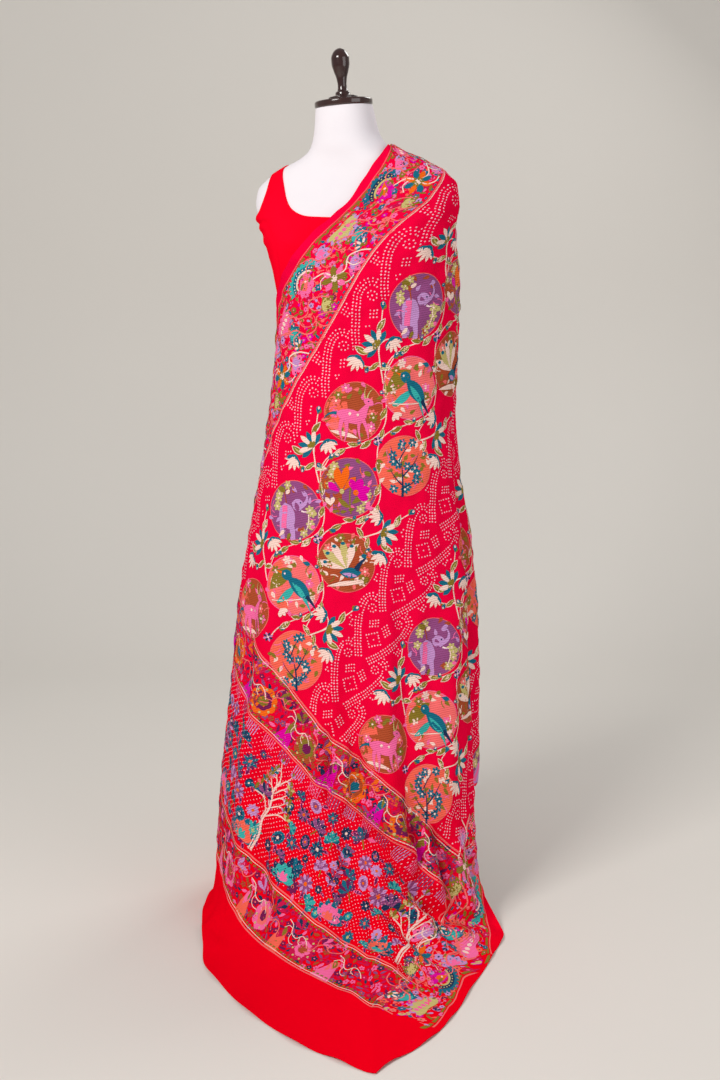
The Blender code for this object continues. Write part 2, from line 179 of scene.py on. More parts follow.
# Outline of the hanging sari at each height: reach to the right, left, front and back.
DrapeRow = namedtuple("DrapeRow", "height right left front back")
DRAPE_ROWS = rows_of(
    DrapeRow,
    (0.300, 0.232, 0.268, 0.196, 0.172),
    (0.400, 0.231, 0.256, 0.184, 0.164),
    (0.480, 0.230, 0.247, 0.174, 0.158),
    (0.600, 0.224, 0.234, 0.162, 0.150),
    (0.730, 0.210, 0.211, 0.152, 0.142),
    (0.860, 0.187, 0.185, 0.144, 0.135),
    (0.970, 0.177, 0.168, 0.137, 0.126),
    (1.060, 0.180, 0.157, 0.136, 0.118),
    (1.173, 0.181, 0.151, 0.143, 0.115),
    (1.250, 0.181, 0.160, 0.138, 0.112),
    (1.310, 0.179, 0.165, 0.112, 0.104),
    (1.345, 0.175, 0.150, 0.094, 0.094),
    (1.401, 0.150, 0.090, 0.060, 0.068),
    (1.447, 0.060, 0.060, 0.050, 0.052),
)

# The sari's upper edge where it crosses the front of the form.
EdgePoint = namedtuple("EdgePoint", "height across")
FRONT_EDGE = rows_of(
    EdgePoint,
    (1.185, -0.151),
    (1.222, -0.137),
    (1.260, -0.113),
    (1.295, -0.081),
    (1.320, -0.050),
    (1.350, -0.018),
    (1.385, 0.006),
    (1.417, 0.028),
    (1.447, 0.050),
)

# Where the two upright edges run, in degrees: round the left side to the back, and down the back.
SideRow = namedtuple("SideRow", "height angle")
LEFT_EDGE = rows_of(
    SideRow,
    (0.000, -236.0),
    (0.300, -234.0),
    (0.600, -228.0),
    (0.900, -215.0),
    (1.090, -195.0),
)
BACK_EDGE = rows_of(
    SideRow,
    (0.300, 78.0),
    (0.800, 82.0),
    (1.200, 88.0),
    (1.345, 86.0),
    (1.395, 74.0),
    (1.425, 56.0),
    (1.447, 30.0),
)

# Folds of the hanging cloth: direction, spread in degrees, depth, and the heights between which
# the fold opens, from nothing to its full depth. A positive depth is a valley.
Fold = namedtuple("Fold", "angle spread depth fades_at full_at")
FOLDS = rows_of(
    Fold,
    (-13.0, 6.5, 0.034, 1.020, 0.700),
    (-28.0, 7.0, -0.007, 0.980, 0.600),
    (-62.0, 7.0, 0.012, 0.800, 0.380),
    (-74.0, 6.0, -0.008, 0.720, 0.380),
    (-96.0, 6.0, 0.010, 0.640, 0.360),
    (-106.0, 6.0, -0.007, 0.620, 0.360),
    (-132.0, 9.0, 0.008, 0.900, 0.450),
    (-165.0, 12.0, 0.008, 0.900, 0.400),
    (-200.0, 13.0, 0.010, 0.900, 0.400),
    (40.0, 13.0, 0.014, 1.150, 0.500),
)

# The edge on the floor, from the left round the train's corner to the right selvage.
HemRow = namedtuple("HemRow", "angle reach height", defaults=(0.0,))
HEM_ROWS = rows_of(
    HemRow,
    (-236.0, 0.228),
    (-210.0, 0.272),
    (-180.0, 0.300),
    (-158.0, 0.326),
    (-143.0, 0.364),
    (-133.0, 0.410),
    (-122.3, 0.449),
    (-113.0, 0.499),
    (-105.8, 0.540),
    (-99.6, 0.584),
    (-94.1, 0.618),
    (-90.0, 0.650),
    (-87.9, 0.664),
    (-86.0, 0.635),
    (-82.4, 0.605),
    (-77.7, 0.563),
    (-70.9, 0.497),
    (-61.6, 0.421),
    (-45.6, 0.352),
    (-32.2, 0.319),
    (-28.0, 0.290, 0.020),
    (-22.0, 0.236, 0.100),
    (-12.0, 0.205, TAIL_HEIGHT),
    (0.0, 0.226, TAIL_HEIGHT - 0.012),
    (30.0, 0.210, TAIL_HEIGHT),
    (90.0, 0.172, TAIL_HEIGHT + 0.010),
)


# --- curves and sections
def eased(table, at, column, against="height"):
    """Read a table's column at a height or an angle, on a smooth curve that never overshoots."""
    places = np.array([getattr(row, against) for row in table])
    values = np.array([getattr(row, column) for row in table])
    order = np.argsort(places)
    places, values = places[order], values[order]
    steps = np.diff(places)
    rises = np.diff(values) / steps
    slopes = np.zeros_like(values)
    same_way = rises[:-1] * rises[1:] > 0
    sums = np.where(same_way, rises[:-1] + rises[1:], 1.0)
    slopes[1:-1] = np.where(same_way, 2 * rises[:-1] * rises[1:] / sums, 0.0)
    slopes[0], slopes[-1] = rises[0], rises[-1]
    at = np.clip(at, places[0], places[-1])
    left = np.clip(np.searchsorted(places, at, side="right") - 1, 0, len(steps) - 1)
    step = steps[left]
    t = (at - places[left]) / step
    start = (1 + 2 * t) * (1 - t) ** 2 * values[left] + t * (1 - t) ** 2 * step * slopes[left]
    end = t * t * (3 - 2 * t) * values[left + 1] + t * t * (t - 1) * step * slopes[left + 1]
    return start + end


def ramp(value, start, end):
    """Rise smoothly from 0 at start to 1 at end."""
    t = np.clip((value - start) / (end - start), 0.0, 1.0)
    return t * t * (3 - 2 * t)


def oval(angle, right, left, front, back, power):
    """Reach of a rounded oval in the direction of angle, in radians."""
    across = np.where(np.cos(angle) > 0, right, left)
    deep = np.where(np.sin(angle) > 0, back, front)
    total = np.abs(np.cos(angle) / across) ** power + np.abs(np.sin(angle) / deep) ** power
    return total ** (-1 / power)


def form_reach(angle, height):
    """Reach of the dress form's section at a height."""
    width = eased(FORM_ROWS, height, "half_width")
    front = eased(FORM_ROWS, height, "front")
    back = eased(FORM_ROWS, height, "back")
    return oval(angle - FORM_TURN, width, width, front, back, FORM_POWER)


def neck_rise(x, height):
    """How far the tilted neck lifts a point of the form."""
    shift = eased(FORM_ROWS, height, "shift")
    return tan(NECK_TILT) * (x - shift) * ramp(height, NECK_TILT_FROM, FORM_ROWS[-1].height)


def form_point(angle, height):
    """Point on the dress form."""
    reach = form_reach(angle, height)
    x = reach * np.cos(angle) + eased(FORM_ROWS, height, "shift")
    y = reach * np.sin(angle)
    return np.stack([x, y, height + neck_rise(x, height)], axis=-1)


def fold_depth(angle, height):
    """How far the folds push the hanging cloth in at a direction, in radians, and a height."""
    depth = np.zeros_like(angle + height)
    for fold in FOLDS:
        off = (np.degrees(angle) - fold.angle) / fold.spread
        depth = depth + fold.depth * np.exp(-off * off) * ramp(-height, -fold.fades_at, -fold.full_at)
    return depth


def drape_reach(angle, height):
    """Reach of the hanging sari: its own outline, kept clear of the form."""
    sides = [eased(DRAPE_ROWS, height, side) for side in ("right", "left", "front", "back")]
    outline = oval(angle, *sides, SARI_POWER) - fold_depth(angle, height)
    below = form_reach(angle, height - SARI_LIFT)
    clear = np.maximum(form_reach(angle, height), below) + SARI_CLEARANCE
    clear = clear * ramp(height, FREE_BELOW, ROUND_ABOVE)
    return 0.5 * (outline + clear + np.sqrt((outline - clear) ** 2 + CLEAR_BLEND ** 2))


def drape_point(angle, height):
    """Point on the middle surface of the hanging sari."""
    reach = drape_reach(angle, height)
    x = reach * np.cos(angle) + eased(FORM_ROWS, height, "shift")
    return np.stack([x, reach * np.sin(angle), height + 0 * x], axis=-1)


# --- the sari's own grid
def front_edge_angle(height):
    """Direction, in radians, in which the upper edge crosses the front at a height."""
    across = eased(FRONT_EDGE, height, "across")
    low, high = -pi, radians(-5.0)
    for _ in range(HALVINGS):
        middle = 0.5 * (low + high)
        if drape_point(np.array(middle), np.array(height))[0] < across:
            low = middle
        else:
            high = middle
    return middle


def left_edge_angle(height):
    """Direction of the sari's left edge, in radians."""
    lowest = FRONT_EDGE[0].height
    if height >= lowest:
        return front_edge_angle(height)
    side = LEFT_EDGE + (SideRow(lowest, np.degrees(front_edge_angle(lowest))),)
    return radians(float(eased(side, height, "angle")))


def column_angles(height, columns):
    """Directions of all columns at a height, closer together around the deep fold.

    One column runs down to the train's corner, so that the corner stays sharp.
    """
    left, front, fold, back = columns
    start = left_edge_angle(height)
    end = radians(float(eased(BACK_EDGE, height, "angle")))
    span = end - start
    fold_start = max(FOLD_START, start + FOLD_FROM_SHARE * span)
    fold_end = fold_start + min(FOLD_SPAN, FOLD_SPAN_SHARE * span)
    lowest = left_edge_angle(SWEEP_FROM)
    corner_share = (TRAIN_CORNER - lowest) / (FOLD_START - lowest)
    corner = start + corner_share * (fold_start - start)
    stops = (
        (start, corner, left),
        (corner, fold_start, front),
        (fold_start, fold_end, fold),
        (fold_end, end, back),
    )
    parts = [np.linspace(low, high, count + 1)[1:] for low, high, count in stops]
    return np.concatenate([[start], *parts])


def hang_heights(rows):
    """Heights of the hanging rows, from the shoulder down, closer together at the shoulder."""
    t = np.linspace(0.0, 1.0, rows + 1)
    return SARI_TOP - (SARI_TOP - SWEEP_FROM) * t ** 1.5


def sari_surface(rows_hang, rows_sweep, columns):
    """Middle surface of the sari: a grid of points from the shoulder to the hem."""
    rows = []
    for height in hang_heights(rows_hang):
        angles = column_angles(height, columns)
        rows.append(drape_point(angles, np.full_like(angles, height)))
    start = rows[-1]
    turn = np.degrees(angles)
    reach = eased(HEM_ROWS, turn, "reach", "angle")
    height = eased(HEM_ROWS, turn, "height", "angle")
    hem = np.stack([reach * np.cos(angles), reach * np.sin(angles), FLOOR_HEIGHT + height], axis=-1)
    drop = (start - hem)[:, 2:3]
    fall = (start - rows[-2]) / np.abs((start - rows[-2])[:, 2:3])
    first = start + fall * SWEEP_FALL * drop
    foot = start * np.array([1.0, 1.0, 0.0]) + hem * np.array([0.0, 0.0, 1.0])
    second = foot + SWEEP_FOOT * (hem - foot)
    for t in np.linspace(0.0, 1.0, rows_sweep + 1)[1:]:
        s = 1 - t
        rows.append(s ** 3 * start + 3 * s * s * t * first + 3 * s * t * t * second + t ** 3 * hem)
    return np.stack(rows)


# --- meshes and pieces
def offset_grid(points, distance, closed=False):
    """Move a grid of points along its surface normals."""
    return points + distance * grid_normals(points, closed)


def grid_normals(points, closed=False):
    """Outward unit normals of a grid of points."""
    if closed:
        along = np.roll(points, -1, axis=1) - np.roll(points, 1, axis=1)
    else:
        along = np.gradient(points, axis=1)
    down = np.gradient(points, axis=0)
    normals = np.cross(down, along)
    return normals / np.linalg.norm(normals, axis=2, keepdims=True)


def grid_quads(rows, columns, closed=False):
    """Corner numbers of a grid's quads, facing along its normals."""
    spans = columns if closed else columns - 1
    row, column = np.meshgrid(np.arange(rows - 1), np.arange(spans), indexing="ij")
    here = row * columns + column
    right = row * columns + (column + 1) % columns
    quads = np.stack([here, here + columns, right + columns, right], axis=-1)
    return quads.reshape(-1, 4)


def sheet_mesh(name, outer, inner, closed):
    """One closed sheet between two grids of the same size."""
    rows, columns = outer.shape[:2]
    count = rows * columns
    quads = grid_quads(rows, columns, closed)
    faces = [quads, quads[:, ::-1] + count]
    top = np.arange(columns)
    loops = [top, top + (rows - 1) * columns]
    if not closed:
        side = np.arange(rows) * columns
        loops = [loops[0], side + columns - 1, loops[1][::-1], side[::-1]]
    for loop in loops:
        after = np.roll(loop, -1) if closed else loop[1:]
        before = loop if closed else loop[:-1]
        faces.append(np.stack([before, after, after + count, before + count], axis=-1))
    return solid_of(name, np.stack([outer, inner]), np.concatenate(faces))


def mesh_of(name, points, faces):
    """Mesh of points and of faces that name their corners."""
    mesh = bpy.data.meshes.new(name)
    faces = faces.tolist() if isinstance(faces, np.ndarray) else faces
    mesh.from_pydata(np.reshape(points, (-1, 3)).tolist(), [], faces)
    return mesh


def solid_of(name, points, faces):
    """Mesh of a closed solid, with all its faces pointing outwards."""
    mesh = mesh_of(name, points, faces)
    work = bmesh.new()
    work.from_mesh(mesh)
    bmesh.ops.recalc_face_normals(work, faces=work.faces)
    if work.calc_volume(signed=True) < 0:
        bmesh.ops.reverse_faces(work, faces=work.faces)
    work.to_mesh(mesh)
    work.free()
    return mesh


def stacked_rings(name, rings):
    """Solid between rings of points, closed by flat discs."""
    count, steps = rings.shape[:2]
    last = (count - 1) * steps
    faces = grid_quads(count, steps, closed=True).tolist()
    faces += [list(range(steps)), list(range(last, last + steps))]
    return solid_of(name, rings, faces)


def turned_mesh(name, profile, steps):
    """Turned solid from a list of (radius, height)."""
    angles = np.linspace(0.0, 2 * pi, steps, endpoint=False)
    return stacked_rings(name, np.array([[(r * cos(a), r * sin(a), h) for a in angles] for r, h in profile]))


def in_scene(name, data):
    """New object in the scene."""
    item = bpy.data.objects.new(name, data)
    bpy.context.scene.collection.objects.link(item)
    return item


def new_piece(name, mesh, material, sharp=radians(40.0)):
    """Object of a mesh in the scene's own frame, with one material and smooth shading."""
    mesh.materials.clear()
    mesh.materials.append(material)
    mesh.shade_smooth()
    mesh.set_sharp_from_angle(angle=sharp)
    return in_scene(name, mesh)


def carry(piece, slot, *nodes):
    """The piece rides on the part's one body and may replace nodes; its slot argument is not used."""
    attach(piece, BODY)
    if nodes:
        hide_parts(*nodes)


def bake_modifiers(piece):
    """Turn a piece with modifiers into a plain mesh."""
    bpy.context.view_layer.update()
    evaluated = piece.evaluated_get(bpy.context.evaluated_depsgraph_get())
    mesh = bpy.data.meshes.new_from_object(evaluated)
    piece.modifiers.clear()
    piece.data = mesh
    mesh.name = piece.name


# --- materials
# Distance between a wave texture's bands at scale 1, and between stitches of the embroidery.
WAVE_PITCH = 0.31416
STITCH_PITCH = 0.0028


def shader_of(name):
    """New material with a Principled shader."""
    material = bpy.data.materials.new(name)
    material.use_nodes = True
    return material, material.node_tree, material.node_tree.nodes["Principled BSDF"]


def linear(colour):
    """A colour given as 0-255 screen values, in the renderer's linear values."""
    values = [channel / 255 for channel in colour]
    return [v / 12.92 if v <= 0.04045 else ((v + 0.055) / 1.055) ** 2.4 for v in values] + [1.0]


def set_inputs(node, **values):
    """Set a node's inputs by their names, with _ for a space."""
    for key, value in values.items():
        node.inputs[key.replace("_", " ")].default_value = value


def add_node(tree, kind, **settings):
    """Add a node and set its properties and its inputs."""
    node = tree.nodes.new(kind)
    for key, value in settings.items():
        if hasattr(node, key):
            setattr(node, key, value)
        else:
            set_inputs(node, **{key: value})
    return node


def socket_of(sockets, identifier):
    """One of a node's sockets by its identifier."""
    return next(socket for socket in sockets if socket.identifier == identifier)


def mixed_colour(tree, factor, low, high):
    """Mix two screen colours by a factor socket."""
    mix = add_node(tree, "ShaderNodeMix", data_type="RGBA")
    socket_of(mix.inputs, "A_Color").default_value = linear(low)
    socket_of(mix.inputs, "B_Color").default_value = linear(high)
    tree.links.new(factor, socket_of(mix.inputs, "Factor_Float"))
    return socket_of(mix.outputs, "Result_Color")


def map_of(tree, name):
    """A surface's own coordinates, Object or UV."""
    return add_node(tree, "ShaderNodeTexCoord").outputs[name]


def noise_on(tree, coordinates, scale, detail):
    """Noise factor on a coordinate output."""
    noise = add_node(tree, "ShaderNodeTexNoise", Scale=scale, Detail=detail)
    tree.links.new(coordinates, noise.inputs["Vector"])
    return noise.outputs["Fac"]


def stretched_noise(tree, stretch, scale, detail):
    """Noise factor on stretched object coordinates."""
    mapping = add_node(tree, "ShaderNodeMapping", Scale=stretch)
    tree.links.new(map_of(tree, "Object"), mapping.inputs["Vector"])
    return noise_on(tree, mapping.outputs["Vector"], scale, detail)


def weave_on(tree, coordinates, pitch, direction):
    """Parallel threads of one pitch on a coordinate output."""
    wave = add_node(
        tree,
        "ShaderNodeTexWave",
        wave_type="BANDS",
        bands_direction=direction,
        Scale=WAVE_PITCH / pitch,
        Distortion=0.6,
    )
    tree.links.new(coordinates, wave.inputs["Vector"])
    return wave.outputs["Fac"]


def bumped(tree, shader, heights, strength, distance):
    """Feed a chain of height outputs into the shader's normal."""
    normal = None
    for height in heights:
        bump = add_node(tree, "ShaderNodeBump", Strength=strength, Distance=distance)
        tree.links.new(height, bump.inputs["Height"])
        if normal is not None:
            tree.links.new(normal, bump.inputs["Normal"])
        normal = bump.outputs["Normal"]
    tree.links.new(normal, shader.inputs["Normal"])


def cloth_finish(name, low, high, pitch, roughness):
    """Woven cloth: two close shades, crossing threads and a fine crepe crinkle."""
    material, tree, shader = shader_of(name)
    shade = noise_on(tree, map_of(tree, "Object"), scale=9.0, detail=4.0)
    tree.links.new(mixed_colour(tree, shade, low, high), shader.inputs["Base Color"])
    flat = map_of(tree, "UV")
    threads = [weave_on(tree, flat, pitch, axis) for axis in "XY"]
    crepe = noise_on(tree, flat, scale=140.0, detail=5.0)
    bumped(tree, shader, [*threads, crepe], strength=0.35, distance=0.00025)
    set_inputs(shader, Roughness=roughness, Specular_IOR_Level=0.0)
    return material


def shade_end(material, colour):
    """Turn the ground's colour gradually into another one towards the cloth's end."""
    tree = material.node_tree
    shader = tree.nodes["Principled BSDF"]
    ground = shader.inputs["Base Color"].links[0].from_socket
    split = add_node(tree, "ShaderNodeSeparateXYZ")
    tree.links.new(map_of(tree, "UV"), split.inputs["Vector"])
    share = add_node(tree, "ShaderNodeMapRange", interpolation_type="SMOOTHSTEP")
    set_inputs(share, From_Min=0.85, From_Max=1.30)
    tree.links.new(split.outputs["Y"], share.inputs["Value"])
    ending = mixed_colour(tree, share.outputs["Result"], colour, colour)
    tree.links.new(ground, socket_of(ending.node.inputs, "A_Color"))
    tree.links.new(ending, shader.inputs["Base Color"])


def thread_finish(name, colour):
    """Silk thread laid in close stitches: one colour with a fine ribbing."""
    material, tree, shader = shader_of(name)
    ribs = weave_on(tree, map_of(tree, "UV"), STITCH_PITCH, "DIAGONAL")
    bumped(tree, shader, [ribs], strength=0.8, distance=0.0010)
    set_inputs(shader, Base_Color=linear(colour), Roughness=0.6, Specular_IOR_Level=0.05)
    return material


def wood_finish(name, low, high):
    """Dark varnished wood with faint upright grain."""
    material, tree, shader = shader_of(name)
    grain = stretched_noise(tree, (60.0, 60.0, 9.0), scale=3.0, detail=6.0)
    tree.links.new(mixed_colour(tree, grain, low, high), shader.inputs["Base Color"])
    bumped(tree, shader, [grain], strength=0.15, distance=0.0002)
    set_inputs(shader, Roughness=0.16, Coat_Weight=0.6, Coat_Roughness=0.08)
    return material


def steel_finish(name, low, high):
    """Brushed steel of the pole."""
    material, tree, shader = shader_of(name)
    brushing = stretched_noise(tree, (40.0, 40.0, 900.0), scale=2.0, detail=3.0)
    tree.links.new(mixed_colour(tree, brushing, low, high), shader.inputs["Base Color"])
    bumped(tree, shader, [brushing], strength=0.2, distance=0.0001)
    set_inputs(shader, Metallic=1.0, Roughness=0.32)
    return material


# --- the cloth and its flat pattern
CLOTH_ROWS = 150
CLOTH_SWEEP_ROWS = 72
CLOTH_COLUMNS = (80, 34, 44, 20)
FINE_FRONT = 116
CLOTH_THICKNESS = 0.0012
BIAS = radians(34.6)
EDGE_PULL = 0.35
PULL_PACE = 1.5
FLATTEN_STEPS = ((6, 800), (3, 800))
UNFOLD_ROUNDS = 60

# Soft creases: where they start and end on the cloth, how wide and how deep. Depth above 0 is a ridge.
Crease = namedtuple("Crease", "across along to_across to_along spread depth")
CREASES = rows_of(
    Crease,
    (0.500, 1.020, 0.575, 1.185, 0.012, 0.0100),
    (0.524, 1.025, 0.598, 1.175, 0.009, -0.0120),
    (0.556, 1.015, 0.632, 1.165, 0.012, 0.0110),
    (0.592, 1.025, 0.672, 1.155, 0.010, -0.0120),
    (0.700, 1.070, 0.830, 1.200, 0.013, 0.0090),
    (0.735, 1.060, 0.860, 1.190, 0.010, -0.0110),
    (0.775, 1.055, 0.900, 1.190, 0.013, 0.0120),
    (0.815, 1.065, 0.945, 1.190, 0.010, -0.0150),
    (0.860, 1.055, 0.995, 1.165, 0.013, 0.0130),
    (0.895, 1.040, 1.020, 1.120, 0.011, -0.0130),
    (0.840, 1.205, 1.035, 1.145, 0.011, -0.0150),
    (0.830, 1.235, 0.995, 1.185, 0.014, 0.0120),
    (0.620, 1.150, 0.960, 1.205, 0.013, -0.0190),
    (0.600, 1.112, 0.930, 1.165, 0.013, 0.0150),
    (0.700, 1.220, 0.960, 1.250, 0.014, 0.0150),
    (0.720, 1.255, 0.950, 1.295, 0.013, -0.0150),
    (0.760, 1.320, 0.930, 1.360, 0.014, -0.0110),
    (0.740, 1.060, 0.960, 1.110, 0.013, -0.0140),
    (0.300, 0.800, 0.430, 1.260, 0.020, 0.0080),
    (0.260, 0.840, 0.390, 1.240, 0.018, -0.0070),
    (0.340, 1.060, 0.480, 1.430, 0.020, 0.0090),
    (0.400, 1.100, 0.560, 1.440, 0.016, -0.0080),
    (0.480, 1.230, 0.660, 1.480, 0.020, 0.0100),
    (0.700, 1.150, 0.900, 1.440, 0.020, 0.0100),
    (0.640, 1.180, 0.820, 1.500, 0.016, -0.0090),
    (0.380, 1.480, 0.540, 1.500, 0.016, 0.0060),
    (0.620, 0.680, 0.860, 1.060, 0.020, 0.0090),
    (0.580, 0.700, 0.780, 1.040, 0.016, -0.0070),
    (0.660, 0.640, 0.900, 1.000, 0.016, -0.0090),
)
# Fine waves of the crepe: waves in each metre across and along the cloth, and how deep they are.
Ripple = namedtuple("Ripple", "across along depth")
RIPPLES = rows_of(
    Ripple,
    (23.0, 9.0, 0.0007),
    (-11.0, 19.0, 0.0008),
    (15.0, 27.0, 0.0005),
    (31.0, -17.0, 0.0004),
)
HEM_WAVES = 11.0
HEM_DEPTH = 0.0020
HEM_REACH = 0.040


def crease_height(flat, creases):
    """How far soft creases raise or sink a sheet, at places on its flat pattern."""
    height = np.zeros(flat.shape[:-1])
    for crease in creases:
        start = np.array([crease.across, crease.along])
        reach = np.array([crease.to_across, crease.to_along]) - start
        length = np.linalg.norm(reach)
        along = (flat - start) @ reach / length ** 2
        nearest = start + np.clip(along, 0.0, 1.0)[..., None] * reach
        off = np.linalg.norm(flat - nearest, axis=2) / crease.spread
        fade = ramp(along, -0.05, 0.25) * ramp(-along, -1.05, -0.7)
        height += crease.depth * np.exp(-off * off) * fade
    return height


def creased(points, flat):
    """Raise or sink the cloth along its soft creases, its fine waves and its wavy hem."""
    height = np.zeros(points.shape[:2])
    for ripple in RIPPLES:
        height += ripple.depth * np.sin(2 * pi * (flat @ (ripple.across, ripple.along)))
    reach = np.linalg.norm(flat - flat[-1:], axis=2)
    waves = 1.0 + np.sin(2 * pi * HEM_WAVES * (flat[-1:, :, 0] - flat[-1:, :, 1]))
    height *= ramp(points[..., 2], 0.005, 0.060)
    height += HEM_DEPTH * waves * np.exp(-reach / HEM_REACH)
    height += crease_height(flat, CREASES)
    return points + height[..., None] * grid_normals(points)


def step_lengths(points, rows, columns):
    """Length of the cloth between neighbours of a coarser grid, followed over its folds."""
    down = np.linalg.norm(np.diff(points, axis=0), axis=2)
    right = np.linalg.norm(np.diff(points, axis=1), axis=2)
    down = np.add.reduceat(down[:, columns], rows[:-1], axis=0)
    right = np.add.reduceat(right[rows], columns[:-1], axis=1)
    return down, right


def first_flat(points):
    """First guess of the flat pattern: lengths round each hanging row, then a fan of sweeping columns."""
    down = np.linalg.norm(np.diff(points, axis=0), axis=2)
    right = np.linalg.norm(np.diff(points, axis=1), axis=2)
    rows, columns = points.shape[:2]
    middle = columns // 2
    last = CLOTH_ROWS - 1
    fallen = np.concatenate([np.zeros((1, columns)), np.cumsum(down, axis=0)])
    walked = np.concatenate([np.zeros((rows, 1)), np.cumsum(right, axis=1)], axis=1)
    walked = walked - walked[:, middle : middle + 1]
    hung = np.minimum(np.arange(rows), last)
    dropped = fallen[hung][:, middle : middle + 1]
    across = dropped * sin(BIAS) + walked[hung] * cos(BIAS)
    along = dropped * cos(BIAS) - walked[hung] * sin(BIAS)
    facing = grid_normals(points)[last]
    facing = np.unwrap(np.arctan2(facing[:, 1], facing[:, 0]))
    swept = fallen - fallen[hung]
    flare = np.linalg.norm((points[-1] - points[last])[:, :2], axis=1) / swept[-1]
    swing = np.concatenate([[0.0], np.cumsum(np.diff(facing) * flare[1:])])
    heading = 0.5 * pi - BIAS - (swing - swing[middle])
    return np.stack([across + swept * np.cos(heading), along + swept * np.sin(heading)], axis=-1)


def coarse_lines(count, stride):
    """Grid lines about a stride apart, always with the last one."""
    return np.unique(np.round(np.linspace(0, count - 1, (count - 1) // stride + 1)).astype(int))


def resample(flat, rows, columns, shape):
    """Spread a coarse grid's flat pattern over the fine grid."""
    fine_columns = np.arange(shape[1])
    fine_rows = np.arange(shape[0])
    wide = np.stack([[np.interp(fine_columns, columns, line[:, k]) for line in flat] for k in (0, 1)], -1)
    tall = [[np.interp(fine_rows, rows, wide[:, c, k]) for c in fine_columns] for k in (0, 1)]
    return np.stack(tall, axis=-1).transpose(1, 0, 2)


def relax(flat, links, steps):
    """Pull a flat pattern's nodes until neighbours stand at their distance on the cloth."""
    for _ in range(steps):
        move = np.zeros_like(flat)
        share = np.full(flat.shape[:2], 1e-6)
        for first, second, rest, weight in links:
            gap = flat[second] - flat[first]
            length = np.linalg.norm(gap, axis=2)
            pull = (0.5 * weight * (1 - rest / length))[..., None] * gap
            move[first] += pull
            move[second] -= pull
            share[first] += weight
            share[second] += weight
        flat = flat + PULL_PACE * move / share[..., None]
        flat[:, 0, 0] *= 1 - EDGE_PULL
    return flat


def unfold(flat):
    """Smooth the flat pattern where it is folded over itself."""
    for _ in range(UNFOLD_ROUNDS):
        first = flat[1:, 1:] - flat[:-1, :-1]
        second = flat[:-1, 1:] - flat[1:, :-1]
        folded = first[..., 0] * second[..., 1] > first[..., 1] * second[..., 0]
        if not folded.any():
            break
        near = np.pad(folded, 1)
        near = near[1:, 1:] | near[:-1, 1:] | near[1:, :-1] | near[:-1, :-1]
        near = np.pad(near, 1)
        near = near[1:-1, 1:-1] | near[2:, 1:-1] | near[:-2, 1:-1] | near[1:-1, 2:] | near[1:-1, :-2]
        wide = np.pad(flat, ((1, 1), (1, 1), (0, 0)), mode="reflect", reflect_type="odd")
        mean = 0.25 * (wide[2:, 1:-1] + wide[:-2, 1:-1] + wide[1:-1, 2:] + wide[1:-1, :-2])
        flat = np.where(near[..., None], mean, flat)
    return flat


def flatten(points):
    """The flat pattern of the draped cloth: (across, along) in metres at each grid point.

    The upper selvage, column 0, is pulled to across = 0.
    """
    flat = first_flat(points)
    flat[..., 0] -= flat[0, 0, 0]
    for stride, steps in FLATTEN_STEPS:
        rows = coarse_lines(points.shape[0], stride)
        columns = coarse_lines(points.shape[1], stride)
        down, right = step_lengths(points, rows, columns)
        coarse = flat[np.ix_(rows, columns)]
        chord = points[np.ix_(rows, columns)]
        slack_down = down / np.linalg.norm(np.diff(chord, axis=0), axis=2)
        slack_right = right / np.linalg.norm(np.diff(chord, axis=1), axis=2)
        slack = 0.25 * (slack_down[:, :-1] + slack_down[:, 1:] + slack_right[:-1] + slack_right[1:])
        falling = np.linalg.norm(chord[1:, 1:] - chord[:-1, :-1], axis=2) * slack
        rising = np.linalg.norm(chord[:-1, 1:] - chord[1:, :-1], axis=2) * slack
        every, less, more = slice(None), slice(None, -1), slice(1, None)
        links = (
            ((less, every), (more, every), down, 1.0),
            ((every, less), (every, more), right, 1.0),
            ((less, less), (more, more), falling, 0.5),
            ((more, less), (less, more), rising, 0.5),
        )
        coarse = unfold(relax(unfold(coarse), links, steps))
        flat = resample(coarse, rows, columns, points.shape[:2])
    return unfold(flat)


@lru_cache(maxsize=1)
def cloth_points():
    """Middle surface of the draped cloth and its flat pattern."""
    points = sari_surface(CLOTH_ROWS, CLOTH_SWEEP_ROWS, CLOTH_COLUMNS)
    flat = finer_front(flatten(points))
    return creased(finer_front(points), flat), flat


def finer_front(grid):
    """The grid with more columns over the front, where the creases are, along smooth curves."""
    front, count = CLOTH_COLUMNS[0], grid.shape[1]
    places = np.concatenate([np.linspace(0, front, FINE_FRONT, endpoint=False), np.arange(front, count)])
    low = np.minimum(places.astype(int), count - 2)
    share = (places - low)[None, :, None]
    before, here, after, last = (grid[:, np.clip(low + k, 0, count - 1)] for k in (-1, 0, 1, 2))
    bend = 2 * before - 5 * here + 4 * after - last
    twist = 3 * (here - after) + last - before
    return here + 0.5 * share * (after - before + share * (bend + share * twist))


def store_flat(mesh, flat, copies):
    """Keep the flat pattern as the mesh's UV map, for every layer of the sheet."""
    values = np.tile(flat.reshape(-1, 2), (copies, 1))
    corners = np.empty(len(mesh.loops), dtype=np.int32)
    mesh.loops.foreach_get("vertex_index", corners)
    layer = mesh.uv_layers.new(name="flat")
    layer.uv.foreach_set("vector", values[corners].astype(np.float32).ravel())


def flattened_area(flat):
    """Area of the flat pattern in square metres."""
    first = flat[1:, 1:] - flat[:-1, :-1]
    second = flat[:-1, 1:] - flat[1:, :-1]
    return 0.5 * np.abs(first[..., 0] * second[..., 1] - first[..., 1] * second[..., 0]).sum()


